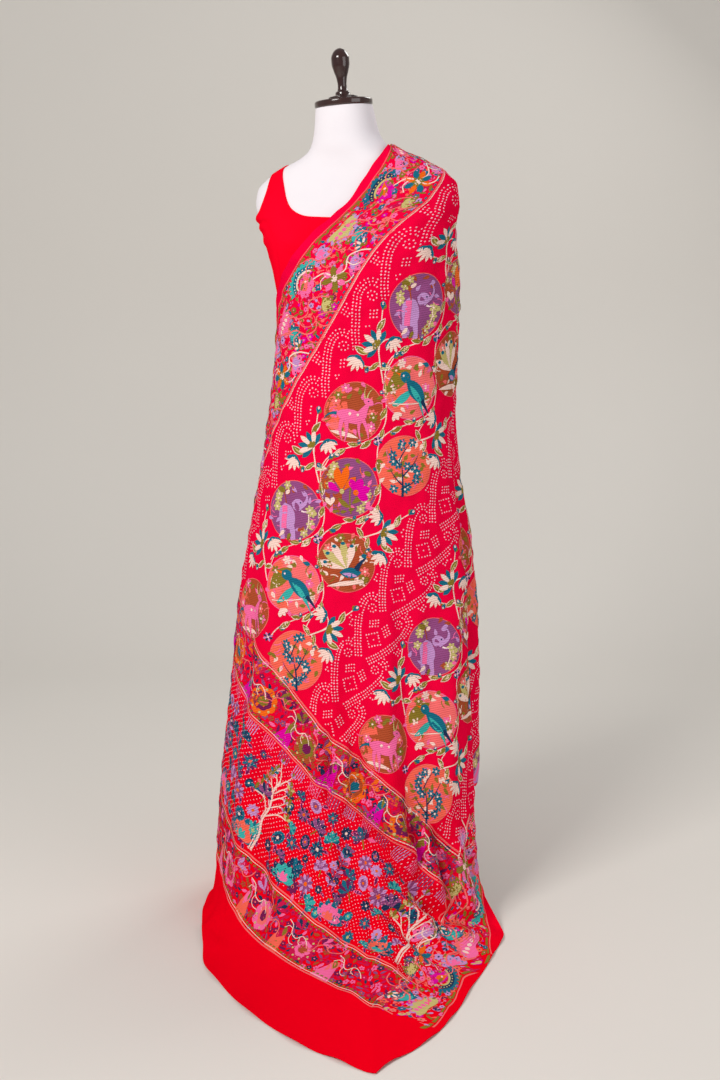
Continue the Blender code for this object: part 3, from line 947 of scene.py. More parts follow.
def outer_face():
    """Outer side of the cloth alone, with its flat pattern and its upright directions."""
    points, flat = cloth_points()
    rows, columns = points.shape[:2]
    outer = offset_grid(points, 0.5 * CLOTH_THICKNESS)
    mesh = mesh_of("cloth_outer_face", outer, grid_quads(rows, columns))
    store_flat(mesh, flat, 1)
    up = mesh.attributes.new("up", "FLOAT_VECTOR", "POINT")
    up.data.foreach_set("vector", grid_normals(points).astype(np.float32).ravel())
    return in_scene("cloth_outer_face", mesh)


# --- drawing on the flat pattern
# A motif is drawn in its own millimetres, x across the cloth and y along it. A spot puts it on the
# cloth's flat pattern, in metres.
Spot = namedtuple("Spot", "across along turn size mirror", defaults=(0.0, 1.0, False))
Thread = namedtuple("Thread", "name red green blue")
Bit = namedtuple("Bit", "thread kind x y turn length width bend", defaults=(0.0,))


def on_cloth(spot, x, y):
    """Place (across, along) on the flat pattern of a point in a motif's own millimetres."""
    turn = radians(spot.turn)
    x = -x if spot.mirror else x
    scale = 0.001 * spot.size
    across = spot.across + scale * (x * cos(turn) - y * sin(turn))
    along = spot.along + scale * (x * sin(turn) + y * cos(turn))
    return across, along


def moved(spot, x, y):
    """Spot moved by a motif's own millimetres."""
    across, along = on_cloth(spot, x, y)
    return spot._replace(across=across, along=along)


THREADS = rows_of(
    Thread,
    ("cream", 250, 214, 202),
    ("teal", 22, 108, 132),
    ("navy", 30, 54, 88),
    ("aqua", 58, 178, 172),
    ("olive", 138, 118, 40),
    ("gold", 204, 188, 118),
    ("orange", 244, 104, 22),
    ("magenta", 226, 0, 160),
    ("pink", 250, 108, 166),
    ("salmon", 250, 112, 112),
    ("lilac", 198, 146, 204),
    ("mauve", 148, 76, 130),
    ("terracotta", 176, 78, 44),
    ("coral", 250, 104, 84),
    ("white", 250, 218, 224),
    ("crimson", 208, 20, 78),
    ("plum", 120, 26, 84),
)
FIRST_LIFT = 0.0005
STEP_LIFT = 0.00005
LONGEST_STEP = 6.0
GOLDEN_SHARE = 0.618034
GOLDEN_TURN = 2.399963

BORDER_TO = 0.158
WAIST_ALONG = 0.240
WAIST_SPREAD = 0.125
WAIST_DEPTH = 0.215


def drawn_in(across, along):
    """Place across the cloth after the first border is drawn in a little below the shoulder."""
    waist = np.exp(-(((along - WAIST_ALONG) / WAIST_SPREAD) ** 2))
    return across - WAIST_DEPTH * waist * np.minimum(across, BORDER_TO)


class Needlework:
    """Shapes of the pattern, gathered thread by thread as points (across, along, height).

    Heights are counted in steps of STEP_LIFT, which keep threads that cross apart. The function
    follow moves every point across the cloth, to keep along a curved edge.
    """

    def __init__(self):
        self.points = {}
        self.faces = {}
        self.counts = {}
        self.follow = drawn_in

    def add(self, thread, spot, line, faces, height):
        """Add one shape, given in its motif's millimetres."""
        across, along = on_cloth(spot, line[:, 0], line[:, 1])
        across = self.follow(across, along)
        lift = STEP_LIFT * height + 0 * across
        first = self.counts.get(thread, 0)
        self.points.setdefault(thread, []).append(np.stack([across, along, lift], axis=1))
        self.faces.setdefault(thread, []).append(faces + first)
        self.counts[thread] = first + len(line)


def ribbon(work, spot, thread, line, widths, height=0.0):
    """Band along a line, of one width or of one for each point, with more columns where it is wide."""
    line = np.asarray(line, dtype=float)
    widths = np.broadcast_to(np.asarray(widths, dtype=float), len(line))
    heading = np.gradient(line, axis=0)
    heading /= np.linalg.norm(heading, axis=1, keepdims=True)
    side = np.stack([-heading[:, 1], heading[:, 0]], axis=1) * widths[:, None]
    columns = 2 + int(widths.max() / (1.5 * LONGEST_STEP))
    shares = np.linspace(0.5, -0.5, columns)[None, :, None]
    corners = (line[:, None, :] + shares * side[:, None, :]).reshape(-1, 2)
    work.add(thread, spot, corners, grid_quads(len(line), columns), height)


def disc(work, spot, thread, x, y, radius, height=0.0, scallops=0, flatness=1.0):
    """Round patch in rings, with a scalloped edge if asked."""
    steps = max(8, 4 * scallops, int(2 * pi * radius / LONGEST_STEP))
    rings = max(1, round(radius / LONGEST_STEP))
    angles = np.linspace(0.0, 2 * pi, steps, endpoint=False)
    lobes = 1.0 - 0.12 * (1 - np.abs(np.cos(0.5 * scallops * angles))) * (scallops > 0)
    spans = np.linspace(0.0, radius, rings + 1)
    spans[0] = 0.02 * radius
    across = x + spans[:, None] * lobes * np.cos(angles)
    along = y + spans[:, None] * lobes * np.sin(angles) * flatness
    line = np.stack([across, along], axis=-1).reshape(-1, 2)
    work.add(thread, spot, line, grid_quads(rings + 1, steps, closed=True), height)


def ring(work, spot, thread, x, y, radius, width, height=0.0):
    """Thin circle."""
    angles = np.linspace(0.0, 2 * pi, max(12, int(2 * pi * radius / LONGEST_STEP)) + 1)
    line = np.stack([x + radius * np.cos(angles), y + radius * np.sin(angles)], axis=1)
    ribbon(work, spot, thread, line, width, height)


def outline_of(kind, t):
    """Share of the full width along a bit of one kind, from its start to its end."""
    if kind == "leaf":
        return np.sin(pi * t) ** 0.8
    if kind == "petal":
        return np.sin(pi * t ** 1.6) ** 0.7
    if kind == "oval":
        return np.sqrt(np.maximum(0.0, 1 - (2 * t - 1) ** 2))
    if kind == "horn":
        return 1.0 - 0.85 * t
    return np.ones_like(t)


def sew(work, spot, bit, height=0.0):
    """Sew one bit: a leaf, petal, oval, horn or bar that starts at x, y and may bend."""
    steps = max(5 if kind_is_round(bit) else 3, int(bit.length / LONGEST_STEP) + 1)
    t = np.linspace(0.0, 1.0, steps + 1)
    heading = np.radians(bit.turn + bit.bend * (t - 0.5 / steps))
    step = bit.length / steps
    line = np.stack([np.cos(heading), np.sin(heading)], axis=1) * step
    line[0] = (bit.x, bit.y)
    line = np.cumsum(line, axis=0)
    if bit.kind == "oval":
        line += 0.5 * (line[0] - line[-1])
    widths = bit.width * np.maximum(outline_of(bit.kind, t), 0.06)
    ribbon(work, spot, bit.thread, line, widths, height)


def kind_is_round(bit):
    """True where a bit needs more steps to look round."""
    return bit.kind in ("oval", "petal", "leaf")


def sew_all(work, spot, bits, height=0.0):
    """Sew a motif's bits, each a little above the one before."""
    for order, bit in enumerate(bits):
        sew(work, spot, bit, height + order)


def blossom(work, spot, threads, petals, length, width, height=0.0, x=0.0, y=0.0, turn=0.0):
    """Round flower: petals of alternating threads about a centre of the last thread."""
    for k in range(petals):
        angle = turn + 360 * k / petals
        petal = Bit(threads[k % (len(threads) - 1)], "petal", x, y, angle, length, width)
        sew(work, spot, petal, height + k % 2)
    disc(work, spot, threads[-1], x, y, 0.24 * length, height + 3)


def fan(work, spot, threads, petals, length, width, spread, height=0.0, x=0.0, y=0.0, turn=-90.0):
    """Half-open flower: petals of alternating threads spread to one side."""
    for k in range(petals):
        share = k / (petals - 1) - 0.5
        reach = length * (1.0 - 0.35 * abs(share))
        petal = Bit(threads[k % len(threads)], "petal", x, y, turn + spread * share, reach, width)
        sew(work, spot, petal, height + k % 2)


def smooth_line(points, step=LONGEST_STEP):
    """Smooth curve through a few points, in short even steps."""
    points = np.asarray(points, dtype=float)
    ends = np.concatenate([2 * points[:1] - points[1:2], points, 2 * points[-1:] - points[-2:-1]])
    pieces = []
    for p0, p1, p2, p3 in zip(ends, ends[1:], ends[2:], ends[3:]):
        count = max(2, int(np.linalg.norm(p2 - p1) / step) + 1)
        t = np.linspace(0.0, 1.0, count, endpoint=False)[:, None]
        curve = 2 * p1 + (p2 - p0) * t + (2 * p0 - 5 * p1 + 4 * p2 - p3) * t ** 2
        pieces.append(0.5 * (curve + (3 * p1 - p0 - 3 * p2 + p3) * t ** 3))
    return np.concatenate(pieces + [points[-1:]])


def stem(work, spot, thread, points, width, height=0.0):
    """Stem of even width through a few points."""
    line = smooth_line(points)
    ribbon(work, spot, thread, line, width, height)


# --- the pattern's motifs
ELEPHANT = rows_of(
    Bit,
    ("terracotta", "bar", -16, -30, 70, 24, 2.0, 20),
    ("olive", "oval", -20, -32, 20, 15, 9),
    ("cream", "oval", -8, -28, -30, 10, 6),
    ("lilac", "oval", -12, 8, 82, 40, 28),
    ("lilac", "bar", -21, 16, 92, 26, 8),
    ("lilac", "bar", -5, 18, 88, 26, 8),
    ("pink", "bar", -15, -8, 95, 34, 9),
    ("lilac", "oval", 8, -8, 20, 21, 18),
    ("lilac", "horn", 15, -6, -20, 28, 7, -120),
    ("white", "horn", 14, 1, 30, 13, 3, -50),
    ("mauve", "leaf", 4, -12, 70, 15, 8),
    ("navy", "oval", 13, -11, 0, 2.4, 2.4),
    ("cream", "bar", 20, 30, -60, 24, 1.6, -40),
    ("gold", "petal", 30, 10, -40, 10, 7),
    ("gold", "petal", 22, 26, 10, 11, 7),
    ("pink", "oval", 31, 26, 0, 8, 6),
    ("cream", "petal", -28, 38, -40, 14, 6),
    ("olive", "petal", -14, 44, -60, 12, 6),
)
DEER = rows_of(
    Bit,
    ("salmon", "leaf", -42, 16, 8, 40, 12, 20),
    ("cream", "leaf", -36, 26, 12, 44, 7, 10),
    ("pink", "oval", -4, 6, 18, 46, 20),
    ("pink", "horn", 11, 6, -66, 23, 17, 20),
    ("pink", "oval", 22, -14, 30, 18, 10),
    ("gold", "horn", 17, -19, -110, 20, 2.4, 50),
    ("gold", "horn", 20, -20, -80, 18, 2.4, 50),
    ("pink", "horn", 14, 12, 60, 30, 6, 30),
    ("pink", "horn", 8, 14, 100, 30, 6, -30),
    ("pink", "horn", -18, 10, 110, 32, 7, -40),
    ("pink", "horn", -12, 12, 80, 32, 7, 30),
    ("teal", "horn", -26, 0, 200, 22, 5, -80),
    ("cream", "oval", -6, 2, 0, 5, 5),
    ("cream", "oval", 6, 4, 0, 4, 4),
    ("navy", "oval", 22, -15, 0, 2.2, 2.2),
)
SONGBIRD = rows_of(
    Bit,
    ("olive", "leaf", -38, 4, -50, 48, 22, 25),
    ("aqua", "leaf", -30, 24, -25, 40, 12, -20),
    ("cream", "bar", -36, 20, 10, 72, 1.6, -25),
    ("teal", "leaf", -8, -12, 40, 50, 22, 15),
    ("teal", "oval", -9, -16, 40, 19, 15),
    ("aqua", "leaf", -2, -4, 48, 38, 9, 10),
    ("navy", "horn", 20, 18, 50, 24, 8, 12),
    ("aqua", "horn", 16, 22, 62, 22, 5, 12),
    ("orange", "horn", -17, -20, 205, 8, 4),
    ("white", "oval", -12, -18, 0, 3, 3),
    ("cream", "petal", -26, 34, 60, 13, 6),
    ("cream", "petal", -26, 34, 100, 13, 6),
    ("cream", "petal", -26, 34, 20, 13, 6),
    ("teal", "petal", 20, -34, 20, 12, 7),
)
POSY = rows_of(
    Bit,
    ("olive", "bar", 2, 40, -95, 46, 2.2, 15),
    ("olive", "leaf", 4, 24, -25, 24, 8, -30),
    ("olive", "leaf", 2, 30, 205, 24, 8, 30),
    ("orange", "petal", -10, 4, -110, 36, 12, 20),
    ("orange", "petal", -10, 4, -75, 38, 12),
    ("magenta", "petal", -12, 6, -150, 24, 11, 20),
    ("orange", "petal", -8, 4, -45, 28, 11),
    ("magenta", "petal", 10, 8, -60, 24, 13),
    ("magenta", "petal", 10, 8, -15, 24, 13),
    ("magenta", "petal", 10, 8, 30, 22, 13),
    ("magenta", "petal", 10, 8, -105, 22, 11),
    ("orange", "oval", 11, 8, 0, 9, 9),
    ("gold", "oval", -10, 5, 0, 8, 8),
    ("cream", "petal", -28, 26, -120, 15, 7),
    ("cream", "petal", -28, 26, -70, 14, 7),
    ("pink", "petal", 24, 32, -50, 13, 7),
    ("pink", "petal", 24, 32, 0, 13, 7),
    ("olive", "oval", 30, -20, 30, 12, 7),
)
PEACOCK = rows_of(
    Bit,
    ("cream", "petal", 0, 10, -160, 44, 12),
    ("gold", "petal", 0, 10, -138, 47, 12),
    ("cream", "petal", 0, 10, -116, 47, 12),
    ("gold", "petal", 0, 10, -94, 45, 12),
    ("cream", "petal", 0, 10, -72, 41, 12),
    ("teal", "oval", -33, -3, 0, 7, 5),
    ("teal", "oval", -28, -16, 0, 7, 5),
    ("teal", "oval", -17, -26, 0, 7, 5),
    ("teal", "oval", -3, -30, 0, 7, 5),
    ("teal", "oval", 10, -25, 0, 7, 5),
    ("teal", "leaf", -12, 14, 8, 34, 17, -10),
    ("navy", "horn", 14, 12, -62, 26, 9, 30),
    ("lilac", "leaf", -8, 16, 12, 24, 6),
    ("teal", "oval", 28, -9, 15, 9, 7),
    ("orange", "horn", 31, -8, 20, 7, 3),
    ("terracotta", "bar", 2, 22, 95, 16, 1.8),
    ("cream", "leaf", -34, 34, -8, 62, 7, 10),
    ("olive", "petal", 24, 34, -60, 14, 7),
)
BRANCHES = rows_of(
    Bit,
    ("navy", "horn", -6, 46, -84, 56, 4, -12),
    ("navy", "horn", -6, 28, -140, 34, 2.4, 30),
    ("navy", "horn", -5, 16, -38, 44, 2.6, -24),
    ("navy", "horn", -7, 2, -128, 36, 2.2, 26),
    ("navy", "horn", -6, 34, -18, 36, 2.2, -30),
    ("navy", "horn", -9, -8, -62, 34, 2, 20),
)

FIGURE_SIZE = 1.2
Ground = namedtuple("Ground", "ground side rim figure blossoms")
GROUNDS = {
    "elephant": Ground("mauve", None, "salmon", ELEPHANT, ("gold", "pink", "lilac", "terracotta")),
    "deer": Ground("terracotta", "coral", "salmon", DEER, ("salmon", "pink", "olive")),
    "songbird": Ground("salmon", "coral", "pink", SONGBIRD, ("pink", "cream", "olive")),
    "posy": Ground("mauve", "terracotta", "salmon", POSY, ("gold", "orange", "pink", "olive")),
    "peacock": Ground("terracotta", None, "salmon", PEACOCK, ("cream", "olive", "salmon")),
    "branches": Ground("coral", None, "salmon", BRANCHES, ("teal", "pink", "olive", "cream")),
}


def roundel(work, spot, name, seed):
    """Disc of one ground with its rim, its figure and a few small flowers."""
    kind = GROUNDS[name]
    radius = 1000 * sizes().roundel_radius
    disc(work, spot, kind.ground, 0, 0, radius)
    if kind.side:
        lean = np.linspace(-0.42 * pi, 0.42 * pi, 15)
        reach = 0.97 * radius
        line = np.stack([reach * (0.30 * np.cos(lean) - 0.52), reach * np.sin(lean)], axis=1)
        half = np.sqrt(np.maximum(0.0, reach ** 2 - line[:, 1] ** 2)) + line[:, 0]
        middle = line - np.stack([0.5 * half, 0 * half], axis=1)
        flat_band(work, spot, kind.side, middle, half, 1)
    ring(work, spot, kind.rim, 0, 0, radius, 1.2, 2)
    strew_roundel(work, spot, name, kind, radius, np.random.default_rng(seed))
    sew_all(work, Spot(spot.across, spot.along, spot.turn, FIGURE_SIZE), kind.figure, 6)


def strew_roundel(work, spot, name, kind, radius, pick):
    """Small flowers, petals and curled stems between a roundel's figure and its rim."""
    count, inner = (52, 0.0) if name == "branches" else (32, 0.36)
    for k in range(count):
        angle = GOLDEN_TURN * k + pick.uniform(-0.2, 0.2)
        reach = radius * np.sqrt(inner + (0.80 - inner) * (k + 0.5) / count)
        x, y = reach * cos(angle), reach * sin(angle)
        thread = kind.blossoms[k % len(kind.blossoms)]
        height = 3 + k % 3
        if k % 4 == 0:
            blossom(work, spot, (thread, "cream"), 6, 9.0, 5.0, height, x, y, pick.uniform(0, 72))
        elif k % 4 == 1:
            sew(work, spot, Bit(thread, "bar", x, y, pick.uniform(0, 360), 15, 1.6, 70), height)
        else:
            sew(work, spot, Bit(thread, "petal", x, y, pick.uniform(0, 360), 13.0, 7.0), height)


def flat_band(work, spot, thread, middles, widths, height):
    """Patch made of level bands, each as wide as given, stacked along the cloth."""
    left = middles - np.stack([0.5 * widths, 0 * widths], axis=1)
    right = middles + np.stack([0.5 * widths, 0 * widths], axis=1)
    steps = np.linspace(0.0, 1.0, 6)[None, :, None]
    grid = left[:, None, :] * (1 - steps) + right[:, None, :] * steps
    faces = grid_quads(len(middles), 6)
    work.add(thread, spot, grid.reshape(-1, 2), faces, height)


# --- layout of the roundels and vines
PHOTO_UP = -124.6
RoundelRow = namedtuple("RoundelRow", "across along even odd")
ROUNDEL_ROWS = rows_of(
    RoundelRow,
    (-0.066, -0.1180, "elephant", "deer"),
    (0.0, 0.0, "songbird", "posy"),
    (0.067, 0.1190, "branches", "peacock"),
)
RoundelBand = namedtuple("RoundelBand", "across along first")
ROUNDEL_BANDS = rows_of(
    RoundelBand,
    (0.348, 0.417, 0),
    (0.706, 0.276, 1),
    (1.064, 0.135, 0),
)
REPEATS = range(-4, 8)


def roundel_spots():
    """Every roundel's place and motif, before the cloth's end cuts them off."""
    pitch = sizes().repeat
    for band in ROUNDEL_BANDS:
        for row in ROUNDEL_ROWS:
            for k in REPEATS:
                along = band.along + row.along + k * pitch
                name = row.odd if (k + band.first) % 2 else row.even
                yield band.across + row.across, along, name


def sew_roundels(work):
    """All roundels above the cloth's end."""
    reach = sizes().roundel_radius
    for order, (across, along, name) in enumerate(roundel_spots()):
        if along + 0.6 * reach < line_at("top", across):
            roundel(work, Spot(across, along, PHOTO_UP + 90.0), name, order)


LOTUS = ("teal", "cream")


def lotus(work, spot, turn, length):
    """Open fan of seven petals with a green base and a small cup."""
    fan(work, spot, LOTUS, 7, length, 0.28 * length, 156.0, 2, turn=turn)
    fan(work, spot, ("olive",), 4, 0.42 * length, 0.2 * length, 110.0, 4, turn=turn)


def side_lotus(work, spot, turn, length):
    """Half flower: cream petals between two dark sepals."""
    fan(work, spot, ("cream",), 5, 1.05 * length, 0.25 * length, 100.0, 3, turn=turn)
    for side in (-1, 1):
        sepal = Bit("teal", "petal", 0, 0, turn + side * 78.0, 0.86 * length, 0.34 * length, -side * 60.0)
        sew(work, spot, sepal, 2)
    sew(work, spot, Bit("teal", "oval", 0, 0, turn + 90, 0.60 * length, 0.26 * length), 4)


def bud(work, spot, turn, length=12.0):
    """Closed bud with a pale tip."""
    sew(work, spot, Bit("olive", "petal", 0, 0, turn + 40, 0.7 * length, 0.35 * length), 1)
    sew(work, spot, Bit("teal", "petal", 0, 0, turn, length, 0.66 * length), 2)
    ahead = radians(turn)
    x, y = 0.72 * length * cos(ahead), 0.72 * length * sin(ahead)
    sew(work, spot, Bit("cream", "oval", x, y, turn, 0.38 * length, 0.28 * length), 3)


def leaf(work, spot, turn, length=17.0):
    """Green leaf with a pale edge and vein."""
    reach = 1.35 * length
    sew(work, spot, Bit("cream", "leaf", 0, 0, turn, reach, 0.44 * reach, 20), 1)
    sew(work, spot, Bit("olive", "leaf", 0, 0, turn, 0.94 * reach, 0.34 * reach, 20), 2)
    sew(work, spot, Bit("gold", "leaf", 0, 0, turn, 0.80 * reach, 0.09 * reach, 20), 3)


VineBit = namedtuple("VineBit", "kind x y turn length")
CLUSTER = rows_of(
    VineBit,
    ("lotus", 13, 4, -175.0, 34.0),
    ("side_lotus", -9, 38, 85.0, 26.0),
    ("side_lotus", 27, -19, 35.0, 25.0),
    ("leaf", 3, 25, 170.0, 21.0),
    ("leaf", -2, -14, -100.0, 20.0),
    ("leaf", 28, 26, 100.0, 17.0),
    ("leaf", 36, 34, -40.0, 17.0),
    ("bud", -14, -50, -115.0, 15.0),
    ("bud", 48, 6, -80.0, 13.0),
    ("bud", 16, 42, 80.0, 12.0),
)
CLUSTER_ACROSS = 0.106
CLUSTER_ALONG = 0.030
CLUSTER_REACH = 0.040


def flower_cluster(work, spot):
    """Three lotus flowers, leaves and buds on one branching stem, between two roundels."""
    stem(work, spot, "cream", [(56, 52), (46, 42), (34, 30), (20, 14), (12, 4)], 2.4)
    stem(work, spot, "cream", [(20, 14), (9, -6), (0, -22), (-8, -38), (-14, -51)], 1.8)
    stem(work, spot, "cream", [(12, 4), (17, -10), (27, -19)], 2.0)
    stem(work, spot, "cream", [(34, 30), (18, 42), (4, 45), (-9, 38)], 2.2)
    stem(work, spot, "cream", [(40, 37), (48, 22), (48, 6)], 1.6)
    draw = {"lotus": lotus, "side_lotus": side_lotus, "leaf": leaf, "bud": bud}
    for bit in CLUSTER:
        draw[bit.kind](work, moved(spot, bit.x, bit.y), bit.turn, bit.length)


def cluster_spots():
    """Places of all the flower clusters, at both sides of each band of roundels."""
    for band in ROUNDEL_BANDS:
        for k in REPEATS:
            for side in (-1, 1):
                across = band.across + side * CLUSTER_ACROSS
                along = band.along + k * sizes().repeat + side * CLUSTER_ALONG
                if along + CLUSTER_REACH < line_at("top", across):
                    yield Spot(across, along, mirror=side > 0)


def sew_vines(work):
    """Winding stems between the rows of roundels, and the flowers at both sides of each band."""
    for spot in cluster_spots():
        flower_cluster(work, spot)
    pitch = sizes().repeat
    for band in ROUNDEL_BANDS:
        for k in REPEATS:
            along = band.along + k * pitch
            for across, phase in ((-0.033, -0.1195), (0.033, 0.0)):
                wind_stem(work, band.across + across, along + phase)
            star = Spot(band.across, along + 0.52 * pitch)
            if star.along < line_at("top", star.across):
                blossom(work, star, ("navy", "lilac", "cream"), 8, 9, 3.4, 2)


STEM_SWAY = 29.0


def wind_stem(work, across, along):
    """One repeat of a winding stem, with leaves and buds, that passes right of a roundel."""
    pitch = 1000 * sizes().repeat
    if along + 0.5 * sizes().repeat > line_at("top", across):
        return
    spot = Spot(across, along)
    steps = np.linspace(-0.5, 0.5, 31)
    line = np.stack([STEM_SWAY * np.cos(2 * pi * steps), pitch * steps], axis=1)
    ribbon(work, spot, "cream", line, 1.8)
    for share, way, draw, length in (
        (-0.44, 200.0, bud, 13.0),
        (-0.34, 40.0, leaf, 19.0),
        (-0.27, 160.0, bud, 11.0),
        (-0.18, 74.0, leaf, 19.0),
        (0.12, 100.0, leaf, 19.0),
        (-0.02, 66.0, leaf, 16.0),
        (0.21, 142.0, leaf, 16.0),
        (0.22, -100.0, bud, 11.0),
        (0.30, 112.0, leaf, 19.0),
        (0.40, -20.0, bud, 13.0),
    ):
        draw(work, moved(spot, STEM_SWAY * cos(2 * pi * share), pitch * share), way, length)


def covered_circles():
    """Circles (across, along, radius) on the cloth that the roundels and flowers cover."""
    reach = sizes().roundel_radius + 0.004
    circles = [(across, along, reach) for across, along, _ in roundel_spots()]
    for spot in cluster_spots():
        for bit in CLUSTER:
            ahead = radians(bit.turn)
            x = bit.x + 0.45 * bit.length * cos(ahead)
            y = bit.y + 0.45 * bit.length * sin(ahead)
            circles.append((*on_cloth(spot, x, y), 0.00062 * bit.length + 0.002))
    return np.array(circles)


# --- layout of the cloth's end
EndLine = namedtuple("EndLine", "left middle right")
END_ACROSS = (0.0, 0.30, 0.54, 0.92, 1.20)
END_LINES = {
    "top": EndLine(0.966, 1.043, 1.081),
    "band": EndLine(1.078, 1.132, 1.152),
    "field": EndLine(1.108, 1.158, 1.178),
    "lower": EndLine(1.300, 1.337, 1.378),
    "plain": EndLine(1.412, 1.438, 1.474),
}


def line_at(name, across):
    """How far along the cloth one of the end's lines lies, at a place across it."""
    line = END_LINES[name]
    first = line.left - 0.25 * END_ACROSS[1]
    last = line.right + 0.05 * (END_ACROSS[4] - END_ACROSS[3])
    return np.interp(across, END_ACROSS, (first, line.left, line.middle, line.right, last))


# --- borders
BORDER_FROM = 0.026
SELVAGE_WIDTH = 0.104
BORDER_END = 0.02
FLOWERS_PER_AREA = 5600


def far_edge(along):
    """How far across the second selvage lies, at a place along the cloth, smoothed over its folds."""
    edge = cloth_points()[1][-1, FINE_FRONT:FINE_FRONT + sum(CLOTH_COLUMNS[1:3])][::-1]
    shifts = np.linspace(-0.05, 0.05, 11)
    return np.mean([np.interp(along + shift, edge[:, 1], edge[:, 0]) for shift in shifts], axis=0)


def edge_line(work, thread, across, first, last, width):
    """Woven line along the cloth."""
    along = np.linspace(first, last, int(1000 * (last - first) / LONGEST_STEP))
    line = 1000 * np.stack([across + 0 * along, along], axis=1)
    ribbon(work, Spot(0.0, 0.0), thread, line, width)


def dashes(work, thread, across, first, last, length, gap, width):
    """Row of short woven dashes along the cloth."""
    for along in np.arange(first, last, 0.001 * (length + gap)):
        sew(work, Spot(across, along), Bit(thread, "bar", 0, 0, 90, length, width))


def crescent(work, spot, edge, fill, inner):
    """Scalloped crescent that opens towards x, with a rib of eyelets inside."""
    angles = np.linspace(radians(95), radians(265), 19)
    taper = np.sin(np.linspace(0.12, pi - 0.12, 19)) ** 0.5
    arcs = ((edge, 25.0, 7.0, 3), (fill, 20.0, 9.0, 4), (inner, 15.0, 4.0, 5))
    for thread, radius, width, height in arcs:
        line = np.stack([radius * np.cos(angles), 1.2 * radius * np.sin(angles)], axis=1)
        ribbon(work, spot, thread, line, width * taper, height)
    for angle in np.linspace(radians(105), radians(255), 11):
        disc(work, spot, edge, 28.5 * cos(angle), 34.5 * sin(angle), 3.3, 3)
        disc(work, spot, inner, 20 * cos(angle), 24 * sin(angle), 1.3, 6)


def paisley(work, spot, colours):
    """Crescent round a bright curled body."""
    edge, fill, inner, body, heart = colours
    sew(work, spot, Bit(body, "petal", -14, -20, 62, 48, 26, -40))
    sew(work, spot, Bit(body, "horn", 8, 22, -50, 30, 11, -60), 1)
    sew(work, spot, Bit(heart, "petal", -9, -10, 62, 28, 12, -30), 2)
    crescent(work, spot, edge, fill, inner)
    sew(work, spot, Bit("olive", "leaf", -2, 2, 70, 15, 6), 4)
    disc(work, spot, "cream", 0, 0, 2.2, 6)


def shell(work, spot, colours):
    """Fan-shaped blossom with a scalloped edge of small lobes."""
    ground, lobes, tip = colours
    for k in range(9):
        sew(work, spot, Bit(lobes, "petal", 0, 0, -100 + 25 * k, 31, 11), k % 2)
    for k in range(8):
        sew(work, spot, Bit(ground, "petal", -4, 0, -88 + 25 * k, 27, 12), 2 + k % 2)
    for k in range(5):
        sew(work, spot, Bit(tip, "oval", 6, -16 + 8 * k, 0, 9, 6), 5 + k % 2)


def plume(work, spot, threads):
    """Spray of overlapping petals with a row of beads."""
    long_thread, short_thread, bead = threads
    fan(work, spot, (long_thread,), 5, 30.0, 12.0, 130.0, 1, turn=-30.0)
    fan(work, spot, (short_thread,), 4, 20.0, 8.0, 100.0, 3, turn=-30.0)
    for k in range(5):
        angle = radians(-90 + 30 * k)
        disc(work, spot, bead, 19 * cos(angle), 19 * sin(angle), 1.5, 5)


def scroll(work, spot, thread="cream", height=6):
    """Branching scroll of pale stems."""
    trunk = [(-34, 44), (-20, 26), (4, 20), (16, 2), (6, -18), (20, -36), (38, -44)]
    stem(work, spot, thread, trunk, 2.6, height)
    for branch in (
        [(4, 20), (20, 26), (34, 18), (38, 4)],
        [(10, -10), (26, -10), (36, -20)],
        [(-10, 24), (-16, 40), (-6, 52)],
    ):
        stem(work, spot, thread, branch, 2.0, height)


Scatter = namedtuple("Scatter", "first last near far count")
SMALL_FLOWERS = (
    ("pink", "crimson"),
    ("teal", "lilac"),
    ("salmon", "olive"),
    ("olive", "pink"),
    ("lilac", "navy"),
    ("crimson", "pink"),
    ("coral", "plum"),
    ("magenta", "gold"),
)
DARK_FLOWERS = (
    ("crimson", "pink"),
    ("plum", "salmon"),
    ("navy", "pink"),
    ("crimson", "olive"),
    ("terracotta", "crimson"),
    ("mauve", "orange"),
    ("pink", "crimson"),
    ("crimson", "plum"),
)


def scatter(work, area, seed):
    """Small flowers, leaves and buds strewn evenly over part of the cloth."""
    pick = np.random.default_rng(seed)
    for k in range(area.count):
        share = (k + 0.5) / area.count
        across = area.near + (area.far - area.near) * ((GOLDEN_SHARE * k + 0.1) % 1.0)
        along = area.first + (area.last - area.first) * share
        spot = Spot(across, along, pick.uniform(0, 360), pick.uniform(0.8, 1.25))
        petals, centre = SMALL_FLOWERS[pick.integers(len(SMALL_FLOWERS))]
        kind = pick.integers(4)
        height = 0.2 * (k % 5)
        if kind == 0:
            blossom(work, spot, (petals, centre), 6, 6.5, 4.4, height)
        elif kind == 1:
            fan(work, spot, (petals, centre), 5, 9.0, 4.6, 130.0, height)
        elif kind == 2:
            sew(work, spot, Bit("olive", "leaf", -6, 0, 0, 12, 4.5, 30), height)
            sew(work, spot, Bit(petals, "petal", 0, 0, -60, 9, 5), height + 1)
        else:
            sew(work, spot, Bit("salmon", "bar", -7, 0, 0, 15, 1.5, 80), height)
            sew(work, spot, Bit(petals, "oval", 3, 2, 30, 7, 5), height + 1)


BORDER_UNITS = (
    (("teal", "navy", "gold", "magenta", "orange"), ("gold", "lilac", "pink"), ("orange", "teal", "cream")),
    (("aqua", "teal", "cream", "pink", "salmon"), ("pink", "salmon", "cream"), ("pink", "olive", "cream")),
)


